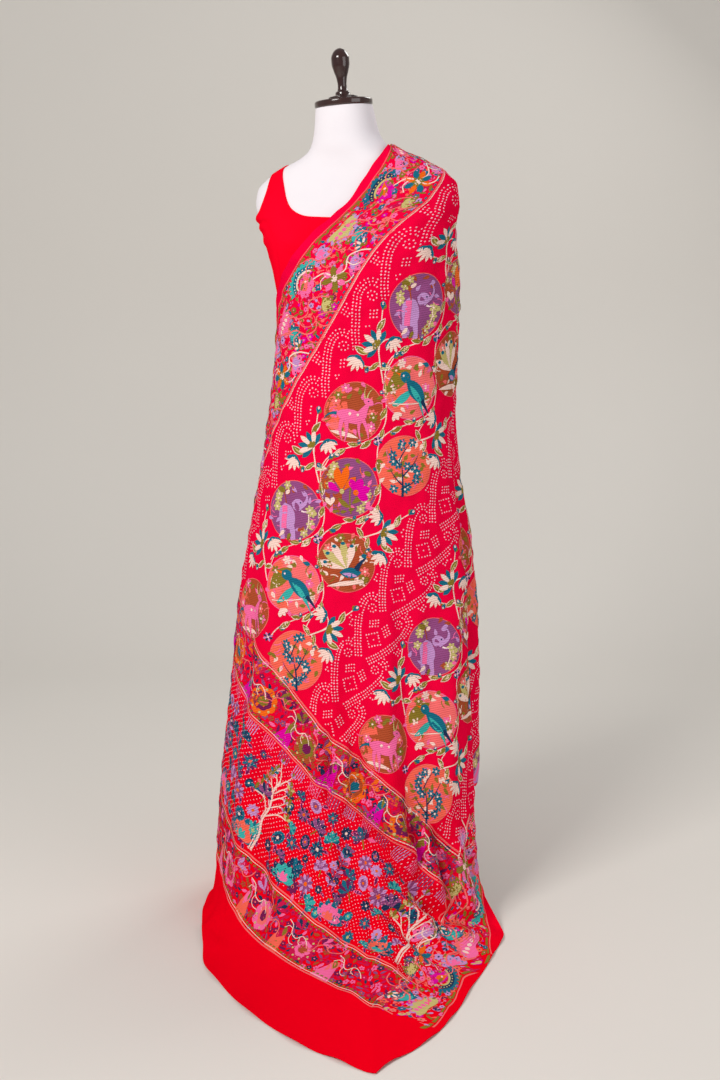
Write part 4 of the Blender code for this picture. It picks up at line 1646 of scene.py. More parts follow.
def sew_border(work, across, mirror, width, first, last, phase, seed):
    """Wide flowered border with its edge lines, between two places along the cloth."""
    way = -1 if mirror else 1
    low, high = first + BORDER_END, last - BORDER_END
    pitch = 0.98 * sizes().repeat
    start = int(np.floor((first - phase) / pitch))
    for k in range(start, int(np.ceil((last - phase) / pitch)) + 1):
        colours, blossoms, star = BORDER_UNITS[k % 2]
        along = phase + k * pitch
        places = (
            (0.042, 0.0, 1.20, paisley, (colours,)),
            (0.034, 0.095, 1.15, shell, (blossoms,)),
            (0.088, 0.150, 1.0, scroll, ("cream",)),
            (0.068, 0.045, 1.0, scroll, ("salmon",)),
            (0.098, 0.060, 1.0, scroll, ("salmon",)),
            (0.040, 0.140, 1.0, scroll, ("salmon",)),
            (0.030, -0.048, 1.0, plume, (("lilac", "pink", "teal"),)),
            (0.100, 0.020, 1.0, plume, (("olive", "gold", "pink"),)),
            (0.105, 0.140, 1.0, plume, (("pink", "lilac", "navy"),)),
            (0.070, 0.100, 1.0, plume, (("teal", "aqua", "cream"),)),
        )
        for off, shift, size, make, extra in places:
            if low < along + shift < high:
                make(work, Spot(across + way * off, along + shift, 0.0, size, mirror), *extra)
        centre = along - 0.030
        if low < centre < high:
            spot = Spot(across + way * 0.094, centre)
            blossom(work, spot, star, 8, 26.0, 11.0, 6)
            blossom(work, spot, ("olive", star[2]), 8, 12.0, 4.5, 8, turn=22.5)
        spot = Spot(across + way * 0.104, along + 0.105)
        if low < spot.along < high:
            lotus(work, spot, 0.0 if mirror else 180.0, 17.0)
    far = across + way * width
    near, wide = sorted((across + way * 0.008, far - way * 0.008))
    area = Scatter(first, last, near, wide, int(FLOWERS_PER_AREA * width * (last - first)))
    scatter(work, area, seed)
    edge_line(work, "salmon", across, first, last, 2.4)
    edge_line(work, "salmon", far, first, last, 3.0)
    edge_line(work, "cream", far + way * 0.0024, first, last, 1.2)
    dashes(work, "olive", across + way * 0.006, first, last, 22.0, 5.0, 4.6)
    dashes(work, "teal", far - way * 0.0055, first, last, 5.0, 5.0, 3.0)


def sew_borders(work):
    """Both selvages' borders."""
    width = BORDER_TO - BORDER_FROM
    sew_border(work, BORDER_FROM, False, width, -0.16, float(line_at("top", 0.09)), 0.155, 3)
    work.follow = lambda across, along: across + far_edge(along)
    sew_border(work, -0.012, True, SELVAGE_WIDTH, 1.000, 1.470, 1.325, 5)
    work.follow = drawn_in


# --- the cloth's end
def end_spot(low, high, across, share, turn=0.0, size=1.0, mirror=False):
    """Spot between two of the end's lines."""
    along = (1 - share) * line_at(low, across) + share * line_at(high, across)
    lean = np.degrees(np.arctan2(line_at(low, across + 0.02) - line_at(low, across - 0.02), 0.04))
    return Spot(across, float(along), turn + float(lean), size, mirror)


def cross_line(work, name, shift, thread, first, last, width, height=0.0):
    """Woven line across the cloth, along one of the end's lines."""
    across = np.arange(first, last, 0.001 * LONGEST_STEP)
    line = 1000 * np.stack([across, line_at(name, across) + shift], axis=1)
    ribbon(work, Spot(0.0, 0.0), thread, line, width, height)


def medallion(work, spot, colours):
    """Scalloped round flower in rings of colour."""
    outer, middle, heart = colours
    disc(work, spot, outer, 0, 0, 21, 2, scallops=8)
    disc(work, spot, middle, 0, 0, 13.5, 4, scallops=7)
    disc(work, spot, heart, 0, 0, 7.5, 6, scallops=6)
    for k in range(8):
        angle = 2 * pi * (k + 0.5) / 8
        disc(work, spot, "gold", 16.5 * cos(angle), 16.5 * sin(angle), 1.8, 7)


END_RIGHT = 0.905
FLOWERS_PER_LENGTH = 640
HATCH_PITCH = 0.0046


def sew_end_band(work, low, high, colours, seed, pace):
    """Flowered band across the cloth between two of the end's lines."""
    rims, drops, fans = colours
    for k in range(int(END_RIGHT / pace)):
        across = 0.034 + k * pace
        medallion(work, end_spot(low, high, across, 0.60, size=1.35), rims[k % len(rims)])
        spot = end_spot(low, high, across + 0.52 * pace, 0.98, -90.0)
        thread, tip = drops[k % len(drops)]
        sew(work, spot, Bit(thread, "horn", 0, 0, 0, 50, 40), 4)
        sew(work, spot, Bit(tip, "petal", 20, -4, 6, 34, 15, 12), 5)
        sew(work, spot, Bit("olive", "leaf", 34, 3, -8, 22, 8, -30), 6)
        for side in (-1, 1):
            spot = end_spot(low, high, across + side * 0.028, 0.30, -90.0 + side * 50)
            ground, petals = fans[(k + (side > 0)) % len(fans)]
            fan(work, spot, (ground, petals), 5, 24.0, 9.0, 110.0, 2, turn=0.0)
        spot = end_spot(low, high, across + 0.27 * pace, 0.42, 90.0, 0.72, k % 2 == 1)
        scroll(work, spot, "salmon", 7)
        spot = end_spot(low, high, across + 0.77 * pace, 0.40, 70.0, 0.66)
        scroll(work, spot, "cream", 7)
    pick = np.random.default_rng(seed)
    for k in range(int(END_RIGHT * FLOWERS_PER_LENGTH)):
        across = (k + 0.5) / FLOWERS_PER_LENGTH
        share = 0.06 + 0.88 * ((GOLDEN_SHARE * k) % 1.0)
        spot = end_spot(low, high, across, share, pick.uniform(0, 360), pick.uniform(0.8, 1.2))
        petals, centre = DARK_FLOWERS[pick.integers(len(DARK_FLOWERS))]
        height = 0.2 * (k % 5)
        if k % 2:
            blossom(work, spot, (petals, centre), 5, 6.5, 4.6, height)
        else:
            sew(work, spot, Bit(petals, "leaf", -5, 0, 0, 13, 5.5, 30), height)
    for name, way in ((low, 1), (high, -1)):
        cross_line(work, name, 0.0, "salmon", 0.0, END_RIGHT + 0.02, 2.6, 7)
        cross_line(work, name, way * 0.005, "cream", 0.0, END_RIGHT, 1.3, 7)
        for across in np.arange(0.004, END_RIGHT, 0.0095):
            along = float(line_at(name, across)) + way * 0.0095
            sew(work, Spot(across, along), Bit("olive", "bar", -3, 0, 0, 6.0, 3.0), 6)


FIELD_FLOWERS = (
    ("navy", "teal", "cream"),
    ("lilac", "mauve", "orange"),
    ("teal", "navy", "cream"),
    ("teal", "aqua", "gold"),
    ("navy", "mauve", "orange"),
    ("plum", "teal", "coral"),
)


def broad_tree(work, spot, height):
    """Pale tree with a forked trunk, long branches that droop and many small leaves."""
    trunk = [(0, 92), (-3, 60), (4, 30), (-2, 0), (6, -30), (2, -56)]
    stem(work, spot, "cream", trunk, 4.6, height)
    stem(work, spot, "cream", [(5, 92), (3, 60), (8, 30), (4, 4)], 2.4, height)
    for k in range(10):
        side = 1 if k % 2 else -1
        y = 22 - 8.5 * k
        reach = 46 - 2.6 * k
        tip = (side * reach, y - 26 + 2 * k)
        stem(work, spot, "cream", [(2, y), (side * 0.45 * reach, y - 20), tip], 2.4, height)
        stem(work, spot, "cream", [(side * 0.4 * reach, y - 18), (side * 0.7 * reach, y - 34)], 1.8, height)
        thread = ("gold", "teal", "navy", "salmon")[k % 4]
        fan(work, moved(spot, *tip), (thread, "olive"), 3, 15.0, 6.5, 110.0, height + 1)
        side_tip = moved(spot, side * 0.7 * reach, y - 34)
        fan(work, side_tip, ("lilac", "olive"), 3, 11.0, 5.0, 90.0, height + 1)


def flower_spike(work, spot, height):
    """Upright stem set with small paired flowers."""
    stem(work, spot, "mauve", [(0, 44), (2, 10), (0, -40)], 2.4, height)
    for k in range(9):
        for side in (-1, 1):
            thread = ("lilac", "navy", "mauve")[k % 3]
            sew(work, spot, Bit(thread, "petal", 0, 38 - 9 * k, -90 + side * 55, 15, 6.5), height + 1)


def mound(work, spot, threads, height):
    """Rounded hill of petals, edged with small leaves."""
    ground, edge, inner = threads
    fan(work, spot, (edge,), 7, 44.0, 13.0, 150.0, height)
    fan(work, spot, (ground,), 6, 36.0, 15.0, 130.0, height + 2)
    fan(work, spot, (inner,), 4, 20.0, 8.0, 100.0, height + 4)


def field_flower(work, spot, threads, kind):
    """One of the larger flowers strewn over the cloth's end."""
    petals, other, centre = threads
    if kind == 0:
        blossom(work, spot, (petals, other, centre), 12, 16.5, 5.6, 2)
        blossom(work, spot, (other, centre), 8, 8.5, 3.6, 4)
    elif kind == 1:
        blossom(work, spot, (petals, centre), 8, 12.5, 6.6, 2)
    elif kind == 2:
        fan(work, spot, (petals, other), 7, 20.0, 8.6, 170.0, 2)
        sew(work, spot, Bit("olive", "bar", 0, 0, 90, 15, 1.8, 30), 1)
    else:
        disc(work, spot, petals, 0, 0, 10.5, 2, flatness=1.3)
        disc(work, spot, other, 0, 0, 6.0, 4, flatness=1.3)
        disc(work, spot, centre, 0, 0, 2.6, 6)
    sew(work, spot, Bit("pink", "leaf", 9, 4, 30, 17, 7.0, 20), 1)
    sew(work, spot, Bit("plum", "leaf", 10, 4.5, 30, 15, 5.6, 20), 2)


TREE_PACE = 0.372
TREE_FIRST = 0.105
MOUND_PACE = 0.124
MOUND_FIRST = 0.066


def sew_end_field(work):
    """Trees, hills, spikes and flowers between the end's two bands."""
    pick = np.random.default_rng(11)
    for k in range(3):
        across = TREE_FIRST + k * TREE_PACE
        broad_tree(work, end_spot("field", "lower", across, 0.46, -6.0, 0.98, k % 2 == 1), 3)
        flower_spike(work, end_spot("field", "lower", across + 0.5 * TREE_PACE, 0.42, 4.0), 3)
    mounds = (("coral", "teal", "aqua"), ("aqua", "navy", "pink"), ("pink", "teal", "coral"))
    for k in range(int(END_RIGHT / MOUND_PACE)):
        across = MOUND_FIRST + MOUND_PACE * k
        mound(work, end_spot("field", "lower", across, 0.93, 0.0, 0.95), mounds[k % 3], 2)
    rows, pace = 6, 0.037
    for row in range(rows):
        for k in range(int(END_RIGHT / pace)):
            across = pace * (k + 0.5 + 0.5 * (row % 2)) + pick.uniform(-0.005, 0.005)
            share = (row + 0.5 + pick.uniform(-0.2, 0.2)) / rows
            tree = abs((across - TREE_FIRST + 0.5 * TREE_PACE) % TREE_PACE - 0.5 * TREE_PACE)
            if across > END_RIGHT - 0.012 or tree < 0.012 or (tree < 0.04 and row < 3 and k % 2):
                continue
            spot = end_spot("field", "lower", across, share, pick.uniform(-60, 60), pick.uniform(0.65, 1.15))
            kind = (k + 2 * row) % 4
            if (k + 3 * row) % 9 == 0:
                kind, spot = 2, spot._replace(size=1.2)
            field_flower(work, spot, FIELD_FLOWERS[pick.integers(6)], kind)


def sew_hatching(work):
    """Groups of short slanted strokes under the upper band."""
    for k, across in enumerate(np.arange(0.004, END_RIGHT, HATCH_PITCH)):
        if k % 9 < 6:
            thread = ("lilac", "pink", "mauve")[(k // 9) % 3]
            spot = end_spot("band", "field", across, 0.10)
            sew(work, spot, Bit(thread, "bar", 0, 0, 86, 20, 1.5))


BAND_COLOURS = (
    (("orange", "plum", "olive"), ("terracotta", "olive", "plum"), ("orange", "terracotta", "teal")),
    (("magenta", "olive"), ("magenta", "plum"), ("magenta", "teal")),
    (("crimson", "orange"), ("plum", "olive"), ("mauve", "orange")),
)
LOWER_COLOURS = (
    (("pink", "crimson", "terracotta"), ("pink", "salmon", "plum"), ("crimson", "pink", "terracotta")),
    (("coral", "pink"), ("coral", "crimson"), ("pink", "salmon")),
    (("plum", "pink"), ("crimson", "lilac"), ("navy", "crimson")),
)


def sew_end(work):
    """The whole flowered end above its plain edge."""
    sew_end_band(work, "top", "band", BAND_COLOURS, 21, 0.118)
    sew_end_band(work, "lower", "plain", LOWER_COLOURS, 23, 0.130)
    sew_hatching(work)
    sew_end_field(work)


# --- tied dots
# Half of one repeat of a dotted strip, in millimetres from the middle of its ring of dots, x towards
# the strip's middle line and y along the cloth. A triple row rises over the ring and runs on to the
# middle line.
DotStrip = namedtuple("DotStrip", "across phase stretch most")
DOT_STRIPS = rows_of(
    DotStrip,
    (0.236, 0.034, 1.2, 0.2262),
    (0.527, 0.015, 1.0, 0.630),
    (0.885, 0.050, 1.0, 0.990),
    (1.200, 0.030, 1.0, 1.300),
)
DOT_REPEAT = 0.097
RING_FROM_MIDDLE = 30.0
DOT_RING = 7.3
TRIPLE_ROW = ((6, -20), (-8, -21), (-18, -12), (-20, 3), (-16, 22), (-6, 46), (8, 73), (20, 92), (23, 98))


def dotted(line, gap, rows):
    """Dots at even gaps in parallel rows along a line."""
    run = np.concatenate([[0.0], np.cumsum(np.linalg.norm(np.diff(line, axis=0), axis=1))])
    heading = np.gradient(line, axis=0)
    heading /= np.linalg.norm(heading, axis=1, keepdims=True)
    side = np.stack([-heading[:, 1], heading[:, 0]], axis=1)
    places = np.arange(0.0, run[-1] - 0.5 * gap, gap)
    for row in range(rows):
        shifted = line + side * gap * (row - 0.5 * (rows - 1))
        yield from zip(np.interp(places, run, shifted[:, 0]), np.interp(places, run, shifted[:, 1]))


def half_repeat():
    """Dots of half a repeat: ring, triple row, short bars, corner and half a lozenge."""
    gap = 1000 * sizes().dot_gap
    dots = [(0.0, 0.0)] + [(DOT_RING * cos(0.25 * pi * k), DOT_RING * sin(0.25 * pi * k)) for k in range(8)]
    dots += list(dotted(smooth_line(TRIPLE_ROW, 2.0), gap, 3))
    dots += [(21 - 4.3 * k + 2.4 * row, 13 + 3.4 * k + 5.0 * row) for row in range(3) for k in range(4)]
    dots += [(-28 + gap * k, 28 + gap * row) for row in range(5) for k in range(row)]
    slant = 0.74 * gap
    for i in range(-2, 3):
        for j in range(-2, 3):
            if max(abs(i), abs(j)) != 1 and i + j <= 0:
                dots.append((RING_FROM_MIDDLE + slant * (i + j), 50.0 + slant * (i - j)))
    return np.array(dots)


def uncovered(spots):
    """The spots (across, along, radius) that no border, roundel, flower or end covers."""
    across, along = spots[:, 0], spots[:, 1]
    free = (along < line_at("top", across) - 0.005) & (across < 1.19)
    free &= across > BORDER_TO + 0.007
    for x, y, radius in covered_circles():
        free &= (across - x) ** 2 + (along - y) ** 2 > radius ** 2
    return spots[free]


def strip_dots():
    """Candidate places of the ground's dots, strip by strip."""
    unit = 0.001 * half_repeat()
    for strip in DOT_STRIPS:
        for k in range(-3, 15):
            for way in (-1, 1):
                across = strip.across + way * strip.stretch * (0.001 * RING_FROM_MIDDLE - unit[:, 0])
                along = strip.phase + k * DOT_REPEAT + unit[:, 1]
                spots = np.stack([across, along, 500 * sizes().dot_size + 0 * along], axis=1)
                yield spots[across < strip.most]


def end_dots():
    """Places of the finer dots, set diagonally on the flowered end's ground."""
    pace = 0.0098
    for row in range(50):
        across = pace * (np.arange(int(END_RIGHT / pace)) + 0.5 * (row % 2))
        along = line_at("band", across) + 0.006 + 0.5 * pace * row
        spots = np.stack([across, along, 360 * sizes().dot_size + 0 * along], axis=1)
        yield spots[along < line_at("lower", across) - 0.006]


def dot_spots():
    """Places of all the tied dots with their radii, none too close to another."""
    spots = np.concatenate([uncovered(np.concatenate(list(strip_dots()))), *end_dots()])
    taken = {}
    least = 0.8 * sizes().dot_gap
    for across, along, radius in spots:
        cell = (int(across // least), int(along // least))
        near = [taken.get((cell[0] + i, cell[1] + j), ()) for i in (-1, 0, 1) for j in (-1, 0, 1)]
        if all((across - a) ** 2 + (along - b) ** 2 > least ** 2 for group in near for a, b in group):
            taken.setdefault(cell, []).append((across, along))
            yield across, along, radius


def sew_dots(work):
    """Tied dots in looping triple rows on the ground, and single dots on the end."""
    pick = np.random.default_rng(31)
    for across, along, radius in dot_spots():
        place = Spot(across + pick.normal(0, 0.0003), along + pick.normal(0, 0.0003))
        tied_dot(work, place, radius * pick.uniform(0.85, 1.1))


def tied_dot(work, spot, radius):
    """Small pale dot with a raised middle."""
    angles = np.linspace(0.0, 2 * pi, 7)[:6] + 0.4
    corners = np.stack([radius * np.cos(angles), radius * np.sin(angles)], axis=1)
    line = np.concatenate([corners, 0.3 * corners])
    work.add("dots", spot, line, grid_quads(2, 6, closed=True), np.repeat([0, 6], 6))
    inner = np.array([[6, 7, 8, 9], [6, 9, 10, 11]])
    work.faces["dots"].append(inner + work.counts["dots"] - 12)


# --- laying the pattern on the cloth
def laying_tree():
    """Geometry Nodes tree that lays flat shapes on the draped cloth."""
    tree = bpy.data.node_groups.new("lay_on_cloth", "GeometryNodeTree")
    face = tree.interface
    kinds = {"Shapes": "Geometry", "Cloth": "Object", "Lift": "Float", "Thread": "Material"}
    sockets = {
        name: face.new_socket(name, in_out="INPUT", socket_type="NodeSocket" + kind).identifier
        for name, kind in kinds.items()
    }
    face.new_socket("Shapes", in_out="OUTPUT", socket_type="NodeSocketGeometry")
    start = add_node(tree, "NodeGroupInput")
    end = add_node(tree, "NodeGroupOutput")
    cloth = add_node(tree, "GeometryNodeObjectInfo")
    position = add_node(tree, "GeometryNodeInputPosition")
    split = add_node(tree, "ShaderNodeSeparateXYZ")
    flat = add_node(tree, "ShaderNodeCombineXYZ")
    vector = {"data_type": "FLOAT_VECTOR"}
    flat_map = add_node(tree, "GeometryNodeInputNamedAttribute", Name="flat", **vector)
    up_map = add_node(tree, "GeometryNodeInputNamedAttribute", Name="up", **vector)
    place = add_node(tree, "GeometryNodeSampleUVSurface", **vector)
    up = add_node(tree, "GeometryNodeSampleUVSurface", **vector)
    rise = add_node(tree, "ShaderNodeMath")
    push = add_node(tree, "ShaderNodeVectorMath", operation="SCALE")
    total = add_node(tree, "ShaderNodeVectorMath")
    missing = add_node(tree, "FunctionNodeBooleanMath", operation="NOT")
    trim = add_node(tree, "GeometryNodeDeleteGeometry")
    move = add_node(tree, "GeometryNodeSetPosition")
    real = add_node(tree, "GeometryNodeRealizeInstances")
    finish = add_node(tree, "GeometryNodeSetMaterial")
    for source, output, target, entry in (
        (start, "Cloth", cloth, "Object"),
        (position, "Position", split, "Vector"),
        (split, "X", flat, "X"),
        (split, "Y", flat, "Y"),
        (cloth, "Geometry", place, "Mesh"),
        (cloth, "Geometry", up, "Mesh"),
        (position, "Position", place, "Value"),
        (up_map, "Attribute", up, "Value"),
        (flat_map, "Attribute", place, "UV Map"),
        (flat_map, "Attribute", up, "UV Map"),
        (flat, "Vector", place, "Sample UV"),
        (flat, "Vector", up, "Sample UV"),
        (split, "Z", rise, 0),
        (start, "Lift", rise, 1),
        (up, "Value", push, 0),
        (rise, "Value", push, "Scale"),
        (place, "Value", total, 0),
        (push, "Vector", total, 1),
        (place, "Is Valid", missing, 0),
        (start, "Shapes", trim, "Geometry"),
        (missing, "Boolean", trim, "Selection"),
        (trim, "Geometry", move, "Geometry"),
        (total, "Vector", move, "Position"),
        (move, "Geometry", real, "Geometry"),
        (real, "Geometry", finish, "Geometry"),
        (start, "Thread", finish, "Material"),
        (finish, "Geometry", end, "Shapes"),
    ):
        tree.links.new(source.outputs[output], target.inputs[entry])
    return tree, sockets


def flat_shapes(name, points, faces):
    """Mesh of flat shapes, all facing away from the form once they are laid."""
    corners = points[faces]
    ahead = np.roll(corners, -1, axis=1)
    area = (corners[..., 0] * ahead[..., 1] - corners[..., 1] * ahead[..., 0]).sum(axis=1)
    faces = np.where((area > 0)[:, None], faces[:, ::-1], faces)
    mesh = mesh_of(name, points, faces)
    loops = np.empty(len(mesh.loops), dtype=np.int32)
    mesh.loops.foreach_get("vertex_index", loops)
    layer = mesh.uv_layers.new(name="thread")
    layer.uv.foreach_set("vector", points[loops][:, :2].astype(np.float32).ravel())
    return mesh


def lay_threads(work, finishes):
    """Lay every thread's shapes on the cloth, one piece for each thread."""
    tree, sockets = laying_tree()
    ground = bpy.data.objects["cloth_outer_face"]
    for thread, finish in finishes:
        if thread not in work.points:
            continue
        points = np.concatenate(work.points[thread])
        faces = np.concatenate(work.faces[thread])
        piece = new_piece("thread_" + thread, flat_shapes("thread_" + thread, points, faces), finish)
        lay = piece.modifiers.new("lay", "NODES")
        lay.node_group = tree
        lay[sockets["Cloth"]] = ground
        lay[sockets["Lift"]] = FIRST_LIFT
        lay[sockets["Thread"]] = finish
        bake_modifiers(piece)
        carry(piece, "sari_silk")


# --- the blouse's shell
BLOUSE_INNER = 0.0004
BLOUSE_OUTER = 0.0022
# Seam over the bust and small folds at the armhole: across the form and in height, as in CREASES.
BLOUSE_CREASES = rows_of(
    Crease,
    (-0.170, 1.332, -0.122, 1.268, 0.0040, -0.0016),
    (-0.126, 1.284, -0.108, 1.120, 0.0040, -0.0016),
    (-0.215, 1.316, -0.140, 1.322, 0.0060, 0.0050),
    (-0.215, 1.296, -0.150, 1.306, 0.0055, 0.0035),
    (-0.215, 1.266, -0.155, 1.280, 0.0070, 0.0032),
    (-0.215, 1.232, -0.155, 1.248, 0.0070, 0.0028),
    (-0.110, 1.282, -0.030, 1.258, 0.0080, 0.0024),
    (-0.110, 1.262, -0.050, 1.236, 0.0070, -0.0020),
)
CREASED_TO = 0.06


def blouse_shell():
    """Outer and inner grids of the blouse, before it is cut to its outline."""
    angles = np.linspace(0.0, 2 * pi, 210, endpoint=False)
    heights = np.linspace(STRAP_TOP, BLOUSE_HEM - 0.03, 150)
    form = np.stack([form_point(angles, np.full_like(angles, height)) for height in heights])
    across = form[..., 0] * cos(FORM_TURN) + form[..., 1] * sin(FORM_TURN)
    back = form[..., 1] * cos(FORM_TURN) - form[..., 0] * sin(FORM_TURN)
    rise = crease_height(np.stack([across, form[..., 2]], axis=-1), BLOUSE_CREASES) * (back < CREASED_TO)
    form = form + rise[..., None] * grid_normals(form, closed=True)
    return offset_grid(form, BLOUSE_OUTER, closed=True), offset_grid(form, BLOUSE_INNER, closed=True)


def blouse_cutter():
    """Solid with the blouse's front outline, which passes through the whole form."""
    corners = list(BLOUSE_OUTLINE)
    strap = [corner.height for corner in corners].index(STRAP_TOP) + 1
    curves = [smooth_line(corners[2:strap], 0.006), smooth_line(corners[strap:], 0.006)]
    half = corners[:2] + [(float(x), float(z)) for curve in curves for x, z in curve]
    outline = half + [(-x, z) for x, z in reversed(half) if x > 0]
    depth = 0.30
    points = [(x, y, z) for y in (-depth, depth) for x, z in outline]
    count = len(outline)
    faces = [list(range(count)), list(range(count, 2 * count))[::-1]]
    faces += [[k, k + count, (k + 1) % count + count, (k + 1) % count] for k in range(count)]
    cutter = in_scene("blouse_outline", solid_of("blouse_outline", points, faces))
    cutter.rotation_euler = (0.0, 0.0, FORM_TURN)
    return cutter


# --- stage
CAMERA_PLACE = (0.0, -2.80, 1.265)
CAMERA_PITCH = radians(11.0)
CAMERA_LENS = 50.0


def make_backdrop():
    """Pale floor that curves up into a backdrop."""
    material, tree, shader = shader_of("backdrop")
    mottle = noise_on(tree, map_of(tree, "Object"), scale=0.8, detail=2.0)
    shade = tuple(sizes().floor_shade)
    colour = mixed_colour(tree, mottle, tuple(0.97 * v for v in shade), shade)
    tree.links.new(colour, shader.inputs["Base Color"])
    shader.inputs["Roughness"].default_value = 0.9
    front, bend, top, half = -5.0, 1.6, 5.0, 7.0
    profile = [(front, 0.0), (bend, 0.0)]
    profile += [(bend + 1.2 * sin(a), 1.2 * (1 - cos(a))) for a in np.linspace(0, pi / 2, 24)[1:]]
    profile.append((bend + 1.2, top))
    points = [(x, y, z) for y, z in profile for x in (-half, half)]
    faces = [(2 * k, 2 * k + 1, 2 * k + 3, 2 * k + 2) for k in range(len(profile) - 1)]
    new_piece("backdrop", mesh_of("backdrop", points, faces), material, sharp=pi)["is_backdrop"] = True


Lamp = namedtuple("Lamp", "name place aim size power colour")
LAMPS = rows_of(
    Lamp,
    ("key", (-1.9, -2.6, 2.9), (0.0, 0.0, 0.9), 1.3, 98.0, (1.0, 0.98, 0.95)),
    ("fill", (2.6, -2.2, 1.6), (0.0, 0.0, 0.8), 2.2, 24.0, (1.0, 1.0, 1.0)),
    ("rim", (1.5, 1.6, 2.8), (0.0, 0.0, 1.0), 1.2, 26.0, (1.0, 0.99, 0.97)),
)


def make_lights():
    """Soft studio lights and a pale surrounding light."""
    for lamp in LAMPS:
        light = bpy.data.lights.new(lamp.name, "AREA")
        light.size = lamp.size
        light.energy = lamp.power
        light.color = lamp.colour
        holder = in_scene(lamp.name, light)
        holder.location = lamp.place
        aim = Vector(lamp.aim) - Vector(lamp.place)
        holder.rotation_euler = aim.to_track_quat("-Z", "Y").to_euler()
    world = bpy.data.worlds.new("studio")
    world.use_nodes = True
    set_inputs(world.node_tree.nodes["Background"], Color=(1.0, 1.0, 1.0, 1.0), Strength=0.35)
    bpy.context.scene.world = world
    bpy.context.scene.view_settings.view_transform = "Standard"


def make_camera():
    """Camera at the photograph's angle."""
    data = bpy.data.cameras.new("camera")
    data.lens = CAMERA_LENS
    camera = in_scene("camera", data)
    camera.location = CAMERA_PLACE
    camera.rotation_euler = (0.5 * pi - CAMERA_PITCH, 0.0, 0.0)
    bpy.context.scene.camera = camera


# --- settings and operators
def sizes():
    """The user's settings."""
    return bpy.context.scene.sari_settings


class SariSettings(bpy.types.PropertyGroup):
    """Sizes and colours a user would change."""

    red: bpy.props.FloatVectorProperty(
        name="Ground red",
        description="Screen colour of the sari's ground, 0 to 255",
        size=3,
        default=(248, 4, 62),
        min=0,
        max=255,
    )
    end_red: bpy.props.FloatVectorProperty(
        name="End red",
        description="Screen colour of the sari's plain end and of the blouse, 0 to 255",
        size=3,
        default=(242, 0, 27),
        min=0,
        max=255,
    )
    repeat: bpy.props.FloatProperty(
        name="Repeat",
        description="Distance along the cloth after which the pattern repeats",
        default=0.2095,
        unit="LENGTH",
        precision=4,
    )
    roundel_radius: bpy.props.FloatProperty(
        name="Roundel radius",
        description="Radius of the embroidered roundels",
        default=0.0535,
        unit="LENGTH",
        precision=4,
    )
    dot_size: bpy.props.FloatProperty(
        name="Dot size",
        description="Width of a tied dot",
        default=0.0030,
        unit="LENGTH",
        precision=4,
    )
    dot_gap: bpy.props.FloatProperty(
        name="Dot gap",
        description="Distance between neighbouring tied dots",
        default=0.0054,
        unit="LENGTH",
        precision=4,
    )
    thread_pitch: bpy.props.FloatProperty(
        name="Thread pitch",
        description="Distance between neighbouring threads of the weave",
        default=0.0006,
        unit="LENGTH",
        precision=4,
    )
    floor_shade: bpy.props.FloatVectorProperty(
        name="Floor",
        description="Screen colour of the floor and backdrop, 0 to 255",
        size=3,
        default=(226, 222, 216),
        min=0,
        max=255,
    )


class SARI_OT_form(bpy.types.Operator):
    """Make the dress form's torso and neck"""

    bl_idname = "sari.form"
    bl_label = "Dress form"

    def execute(self, context):
        angles = np.linspace(0.0, 2 * pi, 144, endpoint=False)
        heights = np.linspace(FORM_ROWS[0].height, FORM_ROWS[-1].height, 150)
        rings = np.stack([form_point(angles, np.full_like(angles, height)) for height in heights])
        mesh = stacked_rings("dress_form", rings)
        finish = cloth_finish("form_jersey", (228, 222, 228), (242, 236, 240), 0.0011, 0.85)
        carry(new_piece("dress_form", mesh, finish), "form_jersey", "form")
        return {"FINISHED"}


def stand_on_neck(mesh, lift):
    """Place a turned piece on the tilted neck."""
    top = FORM_ROWS[-1]
    rise = lift + TOUCH_GAP
    place = Matrix.Translation((top.shift - rise * sin(NECK_TILT), 0.0, top.height + rise * cos(NECK_TILT)))
    mesh.transform(place @ Matrix.Rotation(-NECK_TILT, 4, "Y"))


ProfileRow = namedtuple("ProfileRow", "place radius height")


def smooth_profile(profile, count):
    """More points along a turned profile of (radius, height), on a smooth curve."""
    rows = [ProfileRow(k, radius, height) for k, (radius, height) in enumerate(profile)]
    places = np.linspace(0, len(rows) - 1, count)
    return list(zip(eased(rows, places, "radius", "place"), eased(rows, places, "height", "place")))


class SARI_OT_neck(bpy.types.Operator):
    """Make the wooden neck cap and the finial"""

    bl_idname = "sari.neck"
    bl_label = "Neck cap and finial"

    def execute(self, context):
        bevel = [radians(15 * k) for k in range(7)]
        low = [(CAP_RADIUS - CAP_BEVEL * (1 - sin(a)), CAP_BEVEL * (1 - cos(a))) for a in bevel]
        high = [(radius, CAP_HEIGHT - height) for radius, height in reversed(low)]
        mesh = turned_mesh("neck_cap_wood", low + high, 96)
        stand_on_neck(mesh, 0.0)
        finish = wood_finish("cap_wood", (38, 16, 14), (62, 28, 22))
        carry(new_piece("neck_cap_wood", mesh, finish), "cap_wood", "neck_cap")
        profile = smooth_profile([(row.radius, row.height) for row in FINIAL_ROWS], 90)
        mesh = turned_mesh("finial_wood", profile, 72)
        stand_on_neck(mesh, CAP_HEIGHT + TOUCH_GAP)
        finish = wood_finish("finial_wood", (34, 12, 12), (58, 24, 20))
        carry(new_piece("finial_wood", mesh, finish), "finial_wood", "finial")
        return {"FINISHED"}


